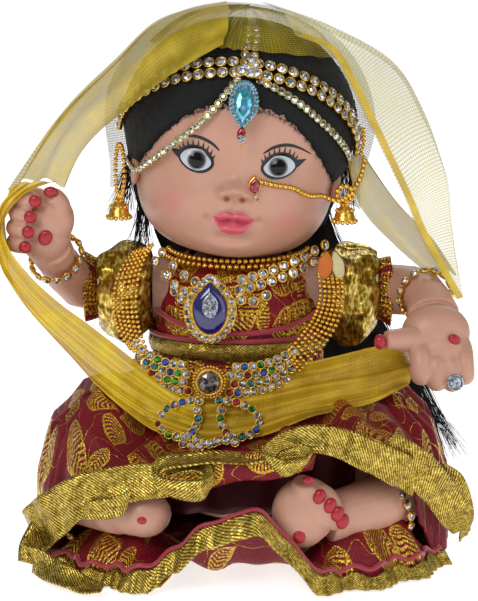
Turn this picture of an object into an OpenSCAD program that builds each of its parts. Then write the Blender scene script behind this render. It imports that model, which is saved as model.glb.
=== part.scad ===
// Seated jointed vinyl doll in Rajasthani bridal dress.
// Millimetres, +Z up. The doll faces -Y and its left side is +X.
// The origin is on the floor, under the neck, on the underside of the skirt.

/* [Torso] */
// Radius of the chest
chest_r = 29; // [25:0.5:35]
// Height of the neck opening above the floor
neck_z = 101; // [96:1:122]
// Thickness of the vinyl skin
vinyl_wall = 2.2; // [1.6:0.1:3]
// Height of the torso's underside above the floor
seat_z = 5; // [4:0.5:7]

/* [Joints] */
// Radius of the neck plug
neck_pin_r = 10; // [8:0.5:12]
// Radius of the shoulder plugs
shoulder_pin_r = 7; // [5.5:0.5:8.5]
// Radius of the hip plugs
hip_pin_r = 8; // [6.5:0.5:9.5]
// Running clearance round each plug
plug_gap = 0.05; // [0.02:0.01:0.1]
// Clearance between faces that turn past each other
face_gap = 0.3; // [0.2:0.1:0.6]

/* [Head] */
// Radius of the head across the cheeks
head_r = 42; // [35:0.5:50]
// Half the height of the head
head_half_h = 40; // [34:0.5:48]
// Sideways tilt of the head in degrees
head_roll = 5; // [0:1:8]
// Radius of each eye
eye_r = 6; // [5:0.5:7.5]
// Thickness of the felt hair cap
wig_t = 1.8; // [1:0.1:2.5]

/* [Arms and sleeves] */
// Radius of the upper arm
arm_r = 8.6; // [7:0.2:10.4]
// Radius of the puffed sleeve
sleeve_r = 17; // [14:0.5:20]
// Length of the puffed sleeve
sleeve_len = 18; // [15:0.5:22]
// Thickness of the sleeve and bodice cloth
cloth_t = 0.9; // [0.6:0.1:1.2]

/* [Legs] */
// Radius of the thigh at the hip
thigh_r = 11; // [10:0.5:13]
// Height of the hip joints above the floor
hip_z = 25; // [23:1:30]

/* [Skirt] */
// Half the width of the spread skirt
skirt_half_w = 80; // [76:1:100]
// How far the skirt reaches in front of the neck axis
skirt_front = 86; // [84:1:105]
// How far the skirt reaches behind the neck axis
skirt_back = 50; // [46:1:62]
// Thickness of the skirt's underside
base_t = 1.2; // [0.8:0.1:2]

/* [Jewellery] */
// Radius of a gold-set stone of the head chain
stone_r = 1.6; // [1.2:0.1:2]
// Radius of a small gold bead
bead_r = 1.2; // [0.8:0.1:1.5]
// Radius of the bangles' wire and beads
bangle_r = 1.2; // [0.8:0.1:1.5]
// Thickness of the veil's solid
veil_t = 1; // [0.8:0.1:1.5]

/* [Hidden] */
$fn = 48;
small_fn = 24;
eps = 0.01;

// ---- joint axes and the faces beside them ----
shoulder_z = neck_z - 12;
shoulder_y = -3;
shoulder_face_x = chest_r + 2;
hip_y = -3;
hip_face_x = chest_r - 2;
flange_t = 3;
flange_step = 1.8;
neck_gap_z = neck_z + 5;

// ---- torso and the layers over it ----
torso_h = neck_z - seat_z;
torso_curve = [for (p = [[0, 0.6], [0.06, 0.88], [0.2, 1.06], [0.38, 1.1], [0.58, 0.98], [0.75, 1],
    [0.88, 0.95], [0.95, 0.8], [1, 0.55]]) [seat_z + p[0] * torso_h, p[1] * chest_r]];
function torso_at(z) = lookup(z, torso_curve);
layer_gap = 0.3;
bodice_out = layer_gap + cloth_t;
waist_z = seat_z + 0.56 * torso_h;
bodice_top_z = neck_z - 4;
lace_z = seat_z + 0.66 * torso_h;
lace_h = 7;
lace_out = bodice_out + layer_gap + 0.8;
jewel_out = bodice_out + layer_gap;
waistband_h = 6;
waistband_t = 2.5;

// Point on the chest: turn is the angle from the front towards +X
function chest_point(turn, z, out) =
    [(torso_at(z) + out) * sin(turn), -(torso_at(z) + out) * cos(turn), z];

// ---- head, given about the neck opening and then tilted ----
head_x = -3.5;
head_mid = 5 + head_half_h;
head_mid_z = neck_z + head_mid;
head_top_z = head_mid_z + head_half_h;
wig_in = 0.4;
wig_out = wig_in + wig_t;
veil_in = wig_out + 0.5;
veil_out = veil_in + veil_t;
head_steps = 24;
function head_point(turn, lift, out) = [head_x + (head_r * cos(lift) + out * cos(lift)) * sin(turn),
    -(head_r + out) * cos(lift) * cos(turn), head_mid + (head_half_h + out) * sin(lift)];
function tilted(p) = [p[0] * cos(head_roll) + p[2] * sin(head_roll), p[1],
    neck_z - p[0] * sin(head_roll) + p[2] * cos(head_roll)];
eye_x = 14.1 / 42 * head_r;
eye_local_z = head_mid - 0.07 * head_half_h;
ear_turn = 68;
ear_lift = -14;

// ---- arms: centre line and radii, given from the shoulder's outer face ----
arm_start_x = shoulder_face_x + face_gap;
sleeve_end_x = arm_start_x + sleeve_len;
cuff_len = 3.4;
cuff_end_x = sleeve_end_x + face_gap + cuff_len;
bend_x = cuff_end_x + 4;
// Each row is sideways from the bend, forward of and above the shoulder axis, then the two radii
arm_right_rows = [[0, 0, 0, 8.2, 8.2], [4.5, -6, 5, 7.8, 7.8], [7, -14, 12, 7, 7],
    [9, -19, 17, 7.2, 6.8], [13, -24, 24, 10, 7], [16, -27, 31, 9, 6.5], [17.5, -28, 37, 5, 4]];
arm_left_rows = [[0, 0, 0, 8.2, 8.2], [5, -7, 1.5, 7.8, 7.8], [9, -16, 2.5, 7.2, 7.2],
    [11, -25, 1, 6.8, 6.8], [12, -33, -4, 9.3, 6.8], [13, -40, -12, 9.3, 6.3],
    [14, -44, -20, 7.5, 5.5], [14, -45.5, -25, 4, 3.5]];
function arm_place(side, row) = [side * (bend_x + row[0]), shoulder_y + row[1], shoulder_z + row[2]];
function arm_path(side, rows) = concat([[[side * (arm_start_x + 12), shoulder_y, shoulder_z],
    arm_r * 0.97, arm_r * 0.97]],
    [for (r = rows) [arm_place(side, r), r[3] / 8.6 * arm_r, r[4] / 8.6 * arm_r]]);
wrist_rows = [2, 3];
hand_out_x = bend_x + 24;

// ---- legs: centre line and radii, given from the hip's outer face and the hip axis ----
leg_start_x = hip_face_x + face_gap;
leg_right_rows = [[6, 0, 0, 11, 11], [12, -3, 0, 11.5, 11.5], [19, -16, 0, 12.5, 12.5], [30, -34, 0, 12, 12],
    [28, -48, -3, 10, 10], [21, -58, -5, 8.5, 8.5], [13, -64, -4, 9, 9], [3, -69, -3, 9.5, 9],
    [-6, -72, -2, 7, 7], [-10, -73, -1.5, 4, 4]];
leg_left_rows = [[6, 0, 0, 11, 11], [12, -3, 0, 11.5, 11.5], [19, -16, 0, 12.5, 12.5], [30, -34, 0, 12, 12],
    [28, -47, -3, 10, 10], [20, -56, -6, 8.5, 8.5], [11, -61, -6, 8.5, 8.5],
    [3, -65, -5, 8.5, 8.5], [-1, -67, -5, 5, 5]];
foot_left_rows = [[-2, -67, -9, 6.5, 6], [-3, -69, -4, 9.5, 8], [-4, -71, 5, 10, 7],
    [-4, -73, 11, 10, 5.5], [-4, -73.5, 15, 6, 3.5]];
function leg_place(side, row) = [side * (leg_start_x + row[0]), hip_y + row[1], hip_z + row[2]];
function leg_path(side, rows) = [for (r = rows) [leg_place(side, r), r[3], r[4]]];
ankle_rows = [4, 5];

// ---- skirt ----
skirt_mid_y = (skirt_back - skirt_front) / 2;
skirt_half_d = (skirt_back + skirt_front) / 2;
skirt_power = 2.6;
skirt_sides = 48;
skirt_t = 1.2;
seam_gap = 0.25;
function spow(v, p) = sign(v) * pow(abs(v), p);
function outline_point(turn, inset) = [(skirt_half_w - inset) * spow(sin(turn), 2 / skirt_power),
    skirt_mid_y - (skirt_half_d - inset) * spow(cos(turn), 2 / skirt_power)];
hem_z = base_t + layer_gap;
function signed_turn(turn) = turn > 180 ? turn - 360 : turn;
function crest_z(turn) = lookup(signed_turn(turn), [[-180, 38], [-135, 42], [-90, 49], [-50, 52],
    [-30, 43], [0, 38], [25, 46], [50, 54], [90, 49], [135, 42], [180, 38]]);
function crest_share(turn) = lookup(abs(signed_turn(turn)), [[0, 0.55], [50, 0.62], [180, 0.6]]);
function edge_z(turn) = lookup(signed_turn(turn), [[-180, hem_z], [-62, hem_z], [-50, 20], [-33, 35],
    [-13, 42], [-5, 46], [10, 51.5], [20, 51.5], [29, 47], [38, 42], [47, 38], [55, 16], [62, hem_z],
    [180, hem_z]]);
waist_ring_r = torso_at(waist_z) + layer_gap + waistband_t + layer_gap;
function between(a, b, k) = a + (b - a) * k;
function skirt_row(turn, k, z) = let (o = outline_point(turn, 2),
    w = [waist_ring_r * sin(turn), -waist_ring_r * cos(turn)])
    [between(w[0], o[0], k), between(w[1], o[1], k), z];
function skirt_line(turn) = let (c = crest_share(turn), cz = crest_z(turn), ez = edge_z(turn))
    [skirt_row(turn, 0, waist_z - 1), skirt_row(turn, 0.4 * c, between(waist_z, cz, 0.85)),
     skirt_row(turn, c, cz), skirt_row(turn, between(c, 1, 0.5), between(cz, ez, 0.16)),
     skirt_row(turn, between(c, 1, 0.88), between(cz, ez, 0.45)), skirt_row(turn, 1, ez)];

// ---- vector helpers ----
function unit(v) = v / norm(v);
function flat(lists) = [for (l = lists) for (p = l) p];
function ends_clamped(i, n) = min(max(i, 0), n - 1);

// Solid tube: path is a list of [centre, radius one way, radius the other way]
module tube(path, facing = [0, 1, 0], sides = 14) {
    n = len(path);
    rings = [for (i = [0 : n - 1]) let (
        t = unit(path[ends_clamped(i + 1, n)][0] - path[ends_clamped(i - 1, n)][0]),
        a = unit(cross(t, facing)), b = cross(t, a))
        [for (j = [0 : sides - 1]) path[i][0] + path[i][1] * cos(360 * j / sides) * a
            + path[i][2] * sin(360 * j / sides) * b]];
    skin = [for (i = [0 : n - 2]) for (j = [0 : sides - 1]) let (k = (j + 1) % sides,
        p = i * sides + j, q = i * sides + k, s = (i + 1) * sides + j, u = (i + 1) * sides + k)
        each [[p, s, u], [p, u, q]]];
    start_cap = [[for (j = [0 : sides - 1]) j]];
    end_cap = [[for (j = [sides - 1 : -1 : 0]) (n - 1) * sides + j]];
    polyhedron(flat(rings), concat(skin, start_cap, end_cap), convexity = 4);
}

function sheet_normal(g, i, j, closed) = let (n = len(g), m = len(g[0]),
    j0 = closed ? (j + m - 1) % m : ends_clamped(j - 1, m),
    j1 = closed ? (j + 1) % m : ends_clamped(j + 1, m))
    unit(cross(g[ends_clamped(i + 1, n)][j] - g[ends_clamped(i - 1, n)][j], g[i][j1] - g[i][j0]));

// Solid sheet: a grid of points given a thickness t against its normals
module sheet(g, t, closed = false) {
    n = len(g);
    m = len(g[0]);
    lower = n * m;
    last = closed ? m - 1 : m - 2;
    under = [for (i = [0 : n - 1]) for (j = [0 : m - 1]) g[i][j] - t * sheet_normal(g, i, j, closed)];
    skins = [for (i = [0 : n - 2]) for (j = [0 : last]) let (k = (j + 1) % m,
        a = i * m + j, b = a + m, d = i * m + k, c = d + m)
        each [[a, d, c], [a, c, b], [lower + a, lower + b, lower + c], [lower + a, lower + c, lower + d]]];
    end_rims = [for (j = [0 : last]) let (k = (j + 1) % m, b = (n - 1) * m + j, c = (n - 1) * m + k)
        each [[k, j, lower + j], [k, lower + j, lower + k],
              [b, c, lower + c], [b, lower + c, lower + b]]];
    side_rims = closed ? [] : [for (i = [0 : n - 2]) let (a = i * m, b = a + m, d = a + m - 1, c = d + m)
        each [[a, b, lower + b], [a, lower + b, lower + a],
              [c, d, lower + d], [c, lower + d, lower + c]]];
    polyhedron(concat(flat(g), under), concat(skins, end_rims, side_rims), convexity = 6);
}

// Flat teardrop outline: round at the bottom for up = 1, at the top for up = -1
function teardrop(half_w, half_h, up = 1) = [for (a = [0 : 12 : 348]) let (s = sin(a),
    pinch = s > 0 ? 1 - pow(s, 2.2) : 1) [half_w * cos(a) * (0.35 + 0.65 * pinch), up * half_h * s]];

// Turns children so that their +Z lies along the direction t
module along(t) {
    rotate([0, acos(unit(t)[2]), atan2(t[1], t[0])]) children();
}

// Lays children's XY plane upright, facing the front, leaning back by lean degrees at the top
module upright(place, lean = 0) {
    translate(place) rotate([lean, 0, 0]) rotate([90, 0, 0]) children();
}

// Solid of revolution about an X-wise axis through the shoulder or hip line
module about_x(side, y, z) {
    translate([0, y, z]) rotate([0, side * 90, 0]) children();
}

module x_cylinder(side, y, z, x0, x1, r) {
    about_x(side, y, z) translate([0, 0, x0]) cylinder(r = r, h = x1 - x0);
}

module on_head() {
    translate([0, 0, neck_z]) rotate([0, head_roll, 0]) children();
}

// Point at share k along a list of points
function along_list(list, k) = let (f = k * (len(list) - 1), i = min(floor(f), len(list) - 2))
    between(list[i], list[i + 1], f - i);

module beads(points, r) {
    for (p = points) translate(p) sphere(r = r, $fn = small_fn);
}

// ---- torso ----
module torso_outer() {
    rotate_extrude() polygon(concat([[0, seat_z]], [for (p = torso_curve) [p[1], p[0]]], [[0, neck_z]]));
}

module torso_cavity() {
    low = seat_z + vinyl_wall;
    high = neck_z - vinyl_wall;
    inner_x = hip_face_x - vinyl_wall;
    difference() {
        rotate_extrude() polygon(concat([[0, low]],
            [for (p = torso_curve) [p[1] - vinyl_wall, min(max(p[0], low), high)]], [[0, high]]));
        for (side = [-1, 1]) translate([side * (inner_x + chest_r) - chest_r, -2 * chest_r, 0])
            cube([2 * chest_r, 4 * chest_r, hip_z + hip_pin_r + 10]);
    }
}

module torso_shell() {
    color("peachpuff") difference() {
        union() {
            difference() {
                torso_outer();
                for (side = [-1, 1]) translate([side * (hip_face_x + chest_r) - chest_r, -2 * chest_r, -eps])
                    cube([2 * chest_r, 4 * chest_r, hip_z + hip_pin_r + 8]);
            }
            for (side = [-1, 1])
                x_cylinder(side, shoulder_y, shoulder_z, chest_r / 2, shoulder_face_x, shoulder_pin_r + 4.5);
        }
        torso_cavity();
        for (side = [-1, 1]) {
            x_cylinder(side, shoulder_y, shoulder_z, chest_r / 4, shoulder_face_x - vinyl_wall,
                shoulder_pin_r + flange_step + 0.5);
            x_cylinder(side, shoulder_y, shoulder_z, chest_r / 4, shoulder_face_x + 1, shoulder_pin_r + plug_gap);
            x_cylinder(side, hip_y, hip_z, chest_r / 4, hip_face_x - vinyl_wall,
                hip_pin_r + flange_step + 0.4);
            x_cylinder(side, hip_y, hip_z, chest_r / 4, hip_face_x + 1, hip_pin_r + plug_gap);
        }
        translate([0, 0, neck_z - vinyl_wall - 1]) cylinder(r = neck_pin_r + plug_gap, h = vinyl_wall + 2);
    }
}

// Ring of cloth that follows the torso between two heights
module torso_band(z0, z1, inner, outer) {
    mids = [for (p = torso_curve) if (p[0] > z0 && p[0] < z1) p[0]];
    zs = concat([z0], mids, [z1]);
    rotate_extrude() polygon(concat([for (z = zs) [torso_at(z) + outer, z]],
        [for (i = [len(zs) - 1 : -1 : 0]) [torso_at(zs[i]) + inner, zs[i]]]));
}

module bodice() {
    color("firebrick") difference() {
        torso_band(waist_z + waistband_h + layer_gap, bodice_top_z, layer_gap, bodice_out);
        for (side = [-1, 1]) x_cylinder(side, shoulder_y, shoulder_z, 0, 2 * chest_r, shoulder_pin_r + 5);
    }
}

module bodice_lace_band() {
    color("goldenrod") torso_band(lace_z, lace_z + lace_h, bodice_out + layer_gap, lace_out);
}

module skirt_waistband() {
    color("darkred") torso_band(waist_z, waist_z + waistband_h, layer_gap, layer_gap + waistband_t);
}

// ---- skirt ----
// One panel of the upper layer, from one seam to the next, given by their turns from the front
module skirt_panel(first, last) {
    step = 360 / skirt_sides;
    lines = [for (turn = [first : step : last])
        skirt_line(min(max(turn, first + seam_gap), last - seam_gap))];
    grid = [for (i = [0 : len(lines[0]) - 1]) [for (line = lines) line[i]]];
    color("crimson") sheet(grid, skirt_t);
}
module skirt_panel_front() { skirt_panel(-60, 60); }
module skirt_panel_left() { skirt_panel(60, 135); }
module skirt_panel_back() { skirt_panel(135, 225); }
module skirt_panel_right() { skirt_panel(225, 300); }

module skirt_base_panel() {
    color("crimson") linear_extrude(base_t)
        polygon([for (j = [0 : 71]) outline_point(5 * j, 0)]);
}

// The ribbon lies along the raised lip of the skirt, just outside it
ribbon_turns = [for (a = [-56 : 7 : 56]) a];
function lip_point(turn, out, up) = let (o = outline_point(turn, 2 - out))
    [o[0], o[1], max(edge_z(turn) + up, hem_z)];
module skirt_ribbon_top() {
    wave = 1.2;
    rows = [for (k = [0 : 2]) [for (i = [0 : len(ribbon_turns) - 1]) let (a = ribbon_turns[i],
        b = 4.2 + wave * (i % 2)) lip_point(a, b - 1.2 * k, 6.5 * k - 4)]];
    color("gold") sheet([rows[2], rows[1], rows[0]], 1);
}

floor_ribbon_h = 6;
module skirt_ribbon_floor() {
    turns = [for (a = [-58 : 4 : 58]) a];
    function lift(a) = hem_z + 17 * pow(max(cos(a * 5.4), 0), 2) * (abs(a) < 16 ? 1 : 0);
    rows = [for (k = [1 : -1 : 0]) [for (a = turns) let (o = outline_point(a, 1.5 + k))
        [o[0], o[1], lift(a) + floor_ribbon_h * k]]];
    color("gold") sheet(rows, 1);
}

module ribbon_tail() {
    rows = [for (k = [0 : 4]) [for (side = [0, 1]) let (o = outline_point(4 * k - 52, -1 - 1.5 * side))
        [o[0], o[1], 12 - 1.6 * k - 5 * side + hem_z]]];
    color("gold") sheet([for (r = rows) [r[1], r[0]]], 1);
}

// ---- chest jewellery ----
module collar_beads() {
    r = 26 / 29 * chest_r;
    color("gold") for (row = [0, 1])
        beads([for (i = [0 : 26]) let (a = -78 + 6 * i + 3 * row)
            [(r + 2.9 * row) * sin(a), -(r + 2.9 * row) * cos(a), neck_z + 2.6 - 1.7 * row]], bead_r);
}

module choker() {
    gap = jewel_out + stone_r;
    step = 7.2;
    right = [for (i = [0 : 4]) chest_point(-46 + step * i, neck_z - 6 - 0.9 * i, gap)];
    left = [for (i = [0 : 7]) chest_point(46 - step * i, neck_z - 6 - 0.7 * i, gap)];
    lower_left = [for (i = [0 : 6]) chest_point(43 - step * i, neck_z - 9.6 - 0.8 * i, gap)];
    color("gold") beads(concat(right, left, lower_left), stone_r);
}

strap_front = -(chest_r - 4);
module necklace_strap(side, low_x, low_z) {
    x = chest_r / 29;
    path = [[side * 25 * x, strap_front + 1.5, neck_z + 1], [side * 33 * x, strap_front - 1, neck_z - 6],
        [side * (low_x + 3) * x, strap_front - 4, neck_z - 15], [side * low_x * x, strap_front - 8, low_z]];
    color("gold") tube([for (p = path) [p, 4.5, 1.2]], sides = 8);
}

necklace_low_z = neck_z - 25;
module necklace_strap_right() { necklace_strap(-1, 38, necklace_low_z); }
module necklace_strap_left() { necklace_strap(1, 26, necklace_low_z); }

pendant_x = -10;
pendant_y = -(chest_r + 17.5);
pendant_z = neck_z - 36.5;
module necklace_band() {
    x = chest_r / 29;
    y = strap_front - 10.5;
    right = [[-37 * x, y, necklace_low_z - 5], [-28 * x, y - 3.5, necklace_low_z - 8],
        [pendant_x - 9, pendant_y + 3, pendant_z + 1]];
    left = [[25 * x, y, necklace_low_z - 5], [12 * x, y - 3.5, necklace_low_z - 8],
        [pendant_x + 9, pendant_y + 3, pendant_z + 1]];
    color("gold") for (path = [right, left]) tube([for (p = path) [p, 3.6, 1.1]], sides = 8);
}

module necklace_end_tabs() {
    x = chest_r / 29;
    color("orange") for (p = [[27 * x, neck_z + 9, 10], [31.5 * x, neck_z + 7.5, -12]])
        upright([p[0], strap_front + 1, p[1]]) rotate(p[2])
            linear_extrude(1, center = true) polygon(teardrop(2.2, 4));
}

choker_pendant_x = -10;
choker_pendant_y = -(chest_r + 5.6);
choker_pendant_z = neck_z - 13;
choker_pendant_t = 2.4;
module choker_pendant_frame() {
    color("gold") upright([choker_pendant_x, choker_pendant_y, choker_pendant_z])
        difference() {
            linear_extrude(choker_pendant_t, center = true) polygon(teardrop(9.5, 12));
            linear_extrude(choker_pendant_t) polygon(teardrop(6.6, 9.2));
        }
}

module choker_pendant_stone() {
    color("navy") upright([choker_pendant_x, choker_pendant_y - 0.2, choker_pendant_z])
        linear_extrude(choker_pendant_t + 0.8) polygon(teardrop(6.3, 8.9));
}

module pendant_centre_stone() {
    color("gray") translate([pendant_x, pendant_y, pendant_z]) rotate([90, 0, 0]) {
        cylinder(r = 5.2, h = 2.4, center = true);
        intersection() {
            translate([0, 0, -4]) sphere(r = 7);
            cylinder(r = 4, h = 6);
        }
    }
}

module pendant_lobes() {
    color("gold") for (side = [-1, 1]) {
        tube([for (p = [[side * 3, 0, -6.4], [side * 9, 0.5, -7.5], [side * 15, 1, -9],
            [side * 16.5, -1, -13.5], [side * 10, -3, -17.5], [side * 4, -3.5, -18.2]])
            [[pendant_x, pendant_y, pendant_z] + p, 2.2, 1.1]], sides = 8);
    }
}

// ---- head ----
module head_solid(out) {
    translate([head_x, 0, head_mid]) rotate_extrude()
        polygon([for (i = [0 : head_steps]) let (a = -90 + 180 * i / head_steps)
            [(head_r + out) * cos(a), (head_half_h + out) * sin(a)]]);
}

// Half space behind and above a sloping plane through two points of the head's side view
module behind_plane(front_y, front_z, back_y, back_z) {
    slope = atan2(back_z - front_z, back_y - front_y);
    translate([head_x, front_y, front_z]) rotate([slope, 0, 0])
        translate([-2 * head_r, -2 * head_r, 0]) cube([4 * head_r, 6 * head_r, 4 * head_r]);
}

module head_shell() {
    ear = head_point(ear_turn, ear_lift, -1.5);
    color("peachpuff") {
        difference() {
            union() {
                on_head() {
                    head_solid(0);
                    translate([head_x, -head_r + 0.5, head_mid - 0.33 * head_half_h]) sphere(r = 4.6);
                    for (side = [-1, 1]) translate([head_x + side * (ear[0] - head_x), ear[1], ear[2]])
                        sphere(r = 5);
                }
                translate([0, 0, neck_z + face_gap]) cylinder(r = neck_pin_r + 4, h = 12);
                translate([0, 0, neck_z - vinyl_wall - face_gap - flange_t])
                    cylinder(r = neck_pin_r, h = vinyl_wall + flange_t + 4);
                translate([0, 0, neck_z - vinyl_wall - face_gap - flange_t])
                    cylinder(r = neck_pin_r + flange_step, h = flange_t);
            }
            on_head() {
                head_solid(-vinyl_wall);
                for (side = [-1, 1]) translate([head_x + side * eye_x, 0, eye_local_z]) rotate([90, 0, 0])
                    cylinder(r = eye_r + 0.1, h = head_r + 5);
            }
            translate([0, 0, neck_z - 20]) cylinder(r = neck_pin_r - vinyl_wall, h = 40);
        }
    }
}

module eye(side) {
    front = sqrt(pow(head_r, 2) - pow(eye_x, 2));
    color("white") on_head() translate([head_x + side * eye_x, -front + 0.5, eye_local_z])
        rotate([90, 0, 0]) intersection() {
            translate([0, 0, -eye_r * 1.15]) sphere(r = eye_r * 1.5);
            translate([0, 0, -6]) cylinder(r = eye_r, h = 12);
        }
}
module eye_right() { eye(-1); }
module eye_left() { eye(1); }

module wig_cap() {
    color("black") on_head() difference() {
        intersection() {
            head_solid(wig_out);
            behind_plane(-0.86 * head_r, head_mid + 0.34 * head_half_h, 0.5 * head_r, head_mid - 0.75 * head_half_h);
        }
        head_solid(wig_in);
        for (side = [-1, 1]) translate([head_x + side * (head_point(ear_turn, ear_lift, 0)[0] - head_x),
            head_point(ear_turn, ear_lift, 0)[1], head_point(ear_turn, ear_lift, 0)[2]]) sphere(r = 6);
    }
}

module veil_crown() {
    color("gold") on_head() difference() {
        intersection() {
            head_solid(veil_out);
            behind_plane(-0.6 * head_r, head_mid + 0.82 * head_half_h, 0.7 * head_r, head_mid + 0.1 * head_half_h);
        }
        head_solid(veil_in);
    }
}

module head_chain() {
    gap = wig_out + 0.35 + stone_r;
    step = 139 * stone_r / head_r;
    half = floor(85 / step);
    color("gold") on_head() {
        beads([for (i = [-half : half]) let (a = i * step) head_point(a, 2 + 37 * cos(a), gap)], stone_r);
        beads([for (i = [-half : half]) let (a = i * step) if (abs(a) > 9) head_point(a, -4 + 37 * cos(a), gap)],
            stone_r);
    }
}

module parting_chain() {
    color("gold") on_head() beads([for (i = [0 : 5]) head_point(1.5, 45 + 5.5 * i,
        veil_out + 0.3 + bead_r)], bead_r);
}

brow_path_right = [[-5, 29], [-8, 22], [-14, 15], [-24, 8], [-38, 2], [-52, -3], [-62, -7]];
brow_path_left = [[12, 28], [20, 23], [28, 17], [36, 11], [46, 5], [58, -2], [66, -7]];
module brow_chain(path) {
    gap = wig_out + 0.35 + bead_r;
    color("gold") on_head() beads([for (i = [0 : 13]) let (p = along_list(path, i / 13))
        head_point(p[0], p[1], gap)], bead_r);
}
module brow_chain_right() { brow_chain(brow_path_right); }
module brow_chain_left() { brow_chain(brow_path_left); }

module nose_stud() {
    color("red") on_head() translate(head_point(10.5, -19, 3.4)) rotate([90, 0, 0])
        linear_extrude(2, center = true) polygon(teardrop(1.8, 2.8));
}

nose_path = [[13, -15], [20, -16], [30, -18], [42, -20], [52, -20], [58, -16]];
module nose_chain() {
    color("gold") on_head() beads([for (i = [0 : 12]) let (p = along_list(nose_path, i / 12))
        head_point(p[0], p[1], 1.9)], 0.9);
}

// ---- earrings hang from points beside the ear lobes ----
function earring_top(side) = tilted([head_x + side * (head_point(ear_turn, ear_lift, 0)[0] - head_x)
    + side * 5.2, head_point(ear_turn, ear_lift, 0)[1], head_point(ear_turn, ear_lift, 0)[2] - 4]);
loop_r = 1.9;
module ear_loops(side) {
    p = earring_top(side);
    color("gold") translate(p) rotate([0, 90, 0]) rotate_extrude($fn = small_fn)
        translate([loop_r, 0]) circle(r = 0.5, $fn = small_fn);
}
module ear_loops_right() { ear_loops(-1); }
module ear_loops_left() { ear_loops(1); }

module jhumka(side) {
    p = earring_top(side);
    color("gold") translate(p) {
        translate([0, 0, -5.4]) sphere(r = 2.2, $fn = small_fn);
        translate([0, 0, -13.4]) rotate_extrude() polygon([[0, 5.4], [1.6, 5.2], [3.6, 3.2], [4.6, 0],
            [4, 0], [3, 2.8], [1.2, 4.4], [0, 4.4]]);
        translate([0, 0, -8.4]) cylinder(r = 0.6, h = 1.4);
    }
}
module jhumka_right() { jhumka(-1); }
module jhumka_left() { jhumka(1); }

// ---- forehead pendant ----
tikka_lean = -20;
tikka_local = [head_x + 1.6, -(head_r + 1.4), head_mid + 15.5 / 40 * head_half_h];
module in_tikka() {
    on_head() translate(tikka_local) rotate([tikka_lean, 0, 0]) rotate([90, 0, 0]) children();
}
module tikka_frame() {
    color("silver") in_tikka() difference() {
        linear_extrude(1.8, center = true) polygon(teardrop(5.2, 8, -1));
        linear_extrude(2) polygon(teardrop(3.6, 6.2, -1));
    }
}
module tikka_stone() {
    color("lightblue") in_tikka() translate([0, 0, 0.1]) linear_extrude(1.6) polygon(teardrop(3.3, 5.9, -1));
}
module tikka_drop() {
    color("darkred") in_tikka() translate([0, -11.2, 0]) sphere(r = 2.2, $fn = small_fn);
}

// ---- arms ----
module plug(side, y, z, face_x, pin_r) {
    x_cylinder(side, y, z, face_x - vinyl_wall - face_gap - flange_t,
        face_x - vinyl_wall - face_gap, pin_r + flange_step);
    x_cylinder(side, y, z, face_x - vinyl_wall - face_gap - flange_t, face_x + 3, pin_r);
}

function ahead(a, b, k) = a + unit(b - a) * k;
module finger(a, b, r) {
    tube([[a, r, r], [between(a, b, 0.5), r, r], [b, r * 0.9, r * 0.9], [ahead(b, b + (b - a), r * 0.6),
        r * 0.4, r * 0.4]], facing = [0, 1, 0.3], sides = 8);
}

module arm(side, rows) {
    plug(side, shoulder_y, shoulder_z, shoulder_face_x, shoulder_pin_r);
    x_cylinder(side, shoulder_y, shoulder_z, arm_start_x, bend_x, arm_r);
    tube(arm_path(side, rows), facing = [0, 0.5, 1]);
}

module arm_right() {
    palm = arm_place(-1, arm_right_rows[5]);
    color("peachpuff") {
        arm(-1, arm_right_rows);
        for (i = [0 : 3]) finger(palm + [5 - 4.2 * i, -3, 2 - 2 * i], palm + [4 - 4.6 * i, -8, 8 - 2.4 * i], 2.7);
        finger(palm + [6, -3, -4], palm + [9.5, -6, 5], 2.8);
    }
}

module arm_left() {
    palm = arm_place(1, arm_left_rows[5]);
    color("peachpuff") {
        arm(1, arm_left_rows);
        for (i = [0 : 3]) finger(palm + [-5.5 + 4.2 * i, -4, -6], palm + [-5 + 4 * i, -6, -14 + i], 2.6);
        finger(palm + [-7, -2, 6], palm + [-14, -6, 9], 2.8);
    }
}

module sleeve(side) {
    k = sleeve_len / 20.5;
    x = arm_start_x;
    t = cloth_t;
    r0 = max(arm_r, shoulder_pin_r) + 0.6;
    outer = [[r0 + t, 0], [sleeve_r - 1.5, 4.5 * k], [sleeve_r, 11 * k], [sleeve_r - 2, 17 * k],
        [r0 + t, sleeve_len]];
    color("gold") about_x(side, shoulder_y, shoulder_z) translate([0, 0, x]) rotate_extrude()
        polygon(concat([for (p = outer) p], [for (i = [4 : -1 : 0]) [outer[i][0] - t, outer[i][1]]]));
}
module sleeve_right() { sleeve(-1); }
module sleeve_left() { sleeve(1); }

module sleeve_cuff(side) {
    r0 = max(arm_r, shoulder_pin_r) + 0.6;
    color("firebrick") about_x(side, shoulder_y, shoulder_z) translate([0, 0, sleeve_end_x + face_gap])
        rotate_extrude() polygon([[r0, 0], [r0 + 1.6, 0], [r0 + 2, cuff_len], [r0, cuff_len]]);
}
module sleeve_cuff_right() { sleeve_cuff(-1); }
module sleeve_cuff_left() { sleeve_cuff(1); }

module finger_ring() {
    palm = arm_place(1, arm_left_rows[5]);
    color("silver") translate(palm + [3.2, -9.6, -11]) rotate([90, 0, 0]) {
        cylinder(r = 2.2, h = 1.2, $fn = small_fn);
        intersection() {
            translate([0, 0, -0.6]) sphere(r = 2.6, $fn = small_fn);
            cylinder(r = 1.9, h = 3, $fn = small_fn);
        }
    }
}

// Ring of round section between two rows of a limb's centre line
module bangle(p, q, inner_r) {
    translate((p + q) / 2) along(q - p) rotate_extrude()
        translate([inner_r + bangle_r, 0]) circle(r = bangle_r, $fn = small_fn);
}

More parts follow.
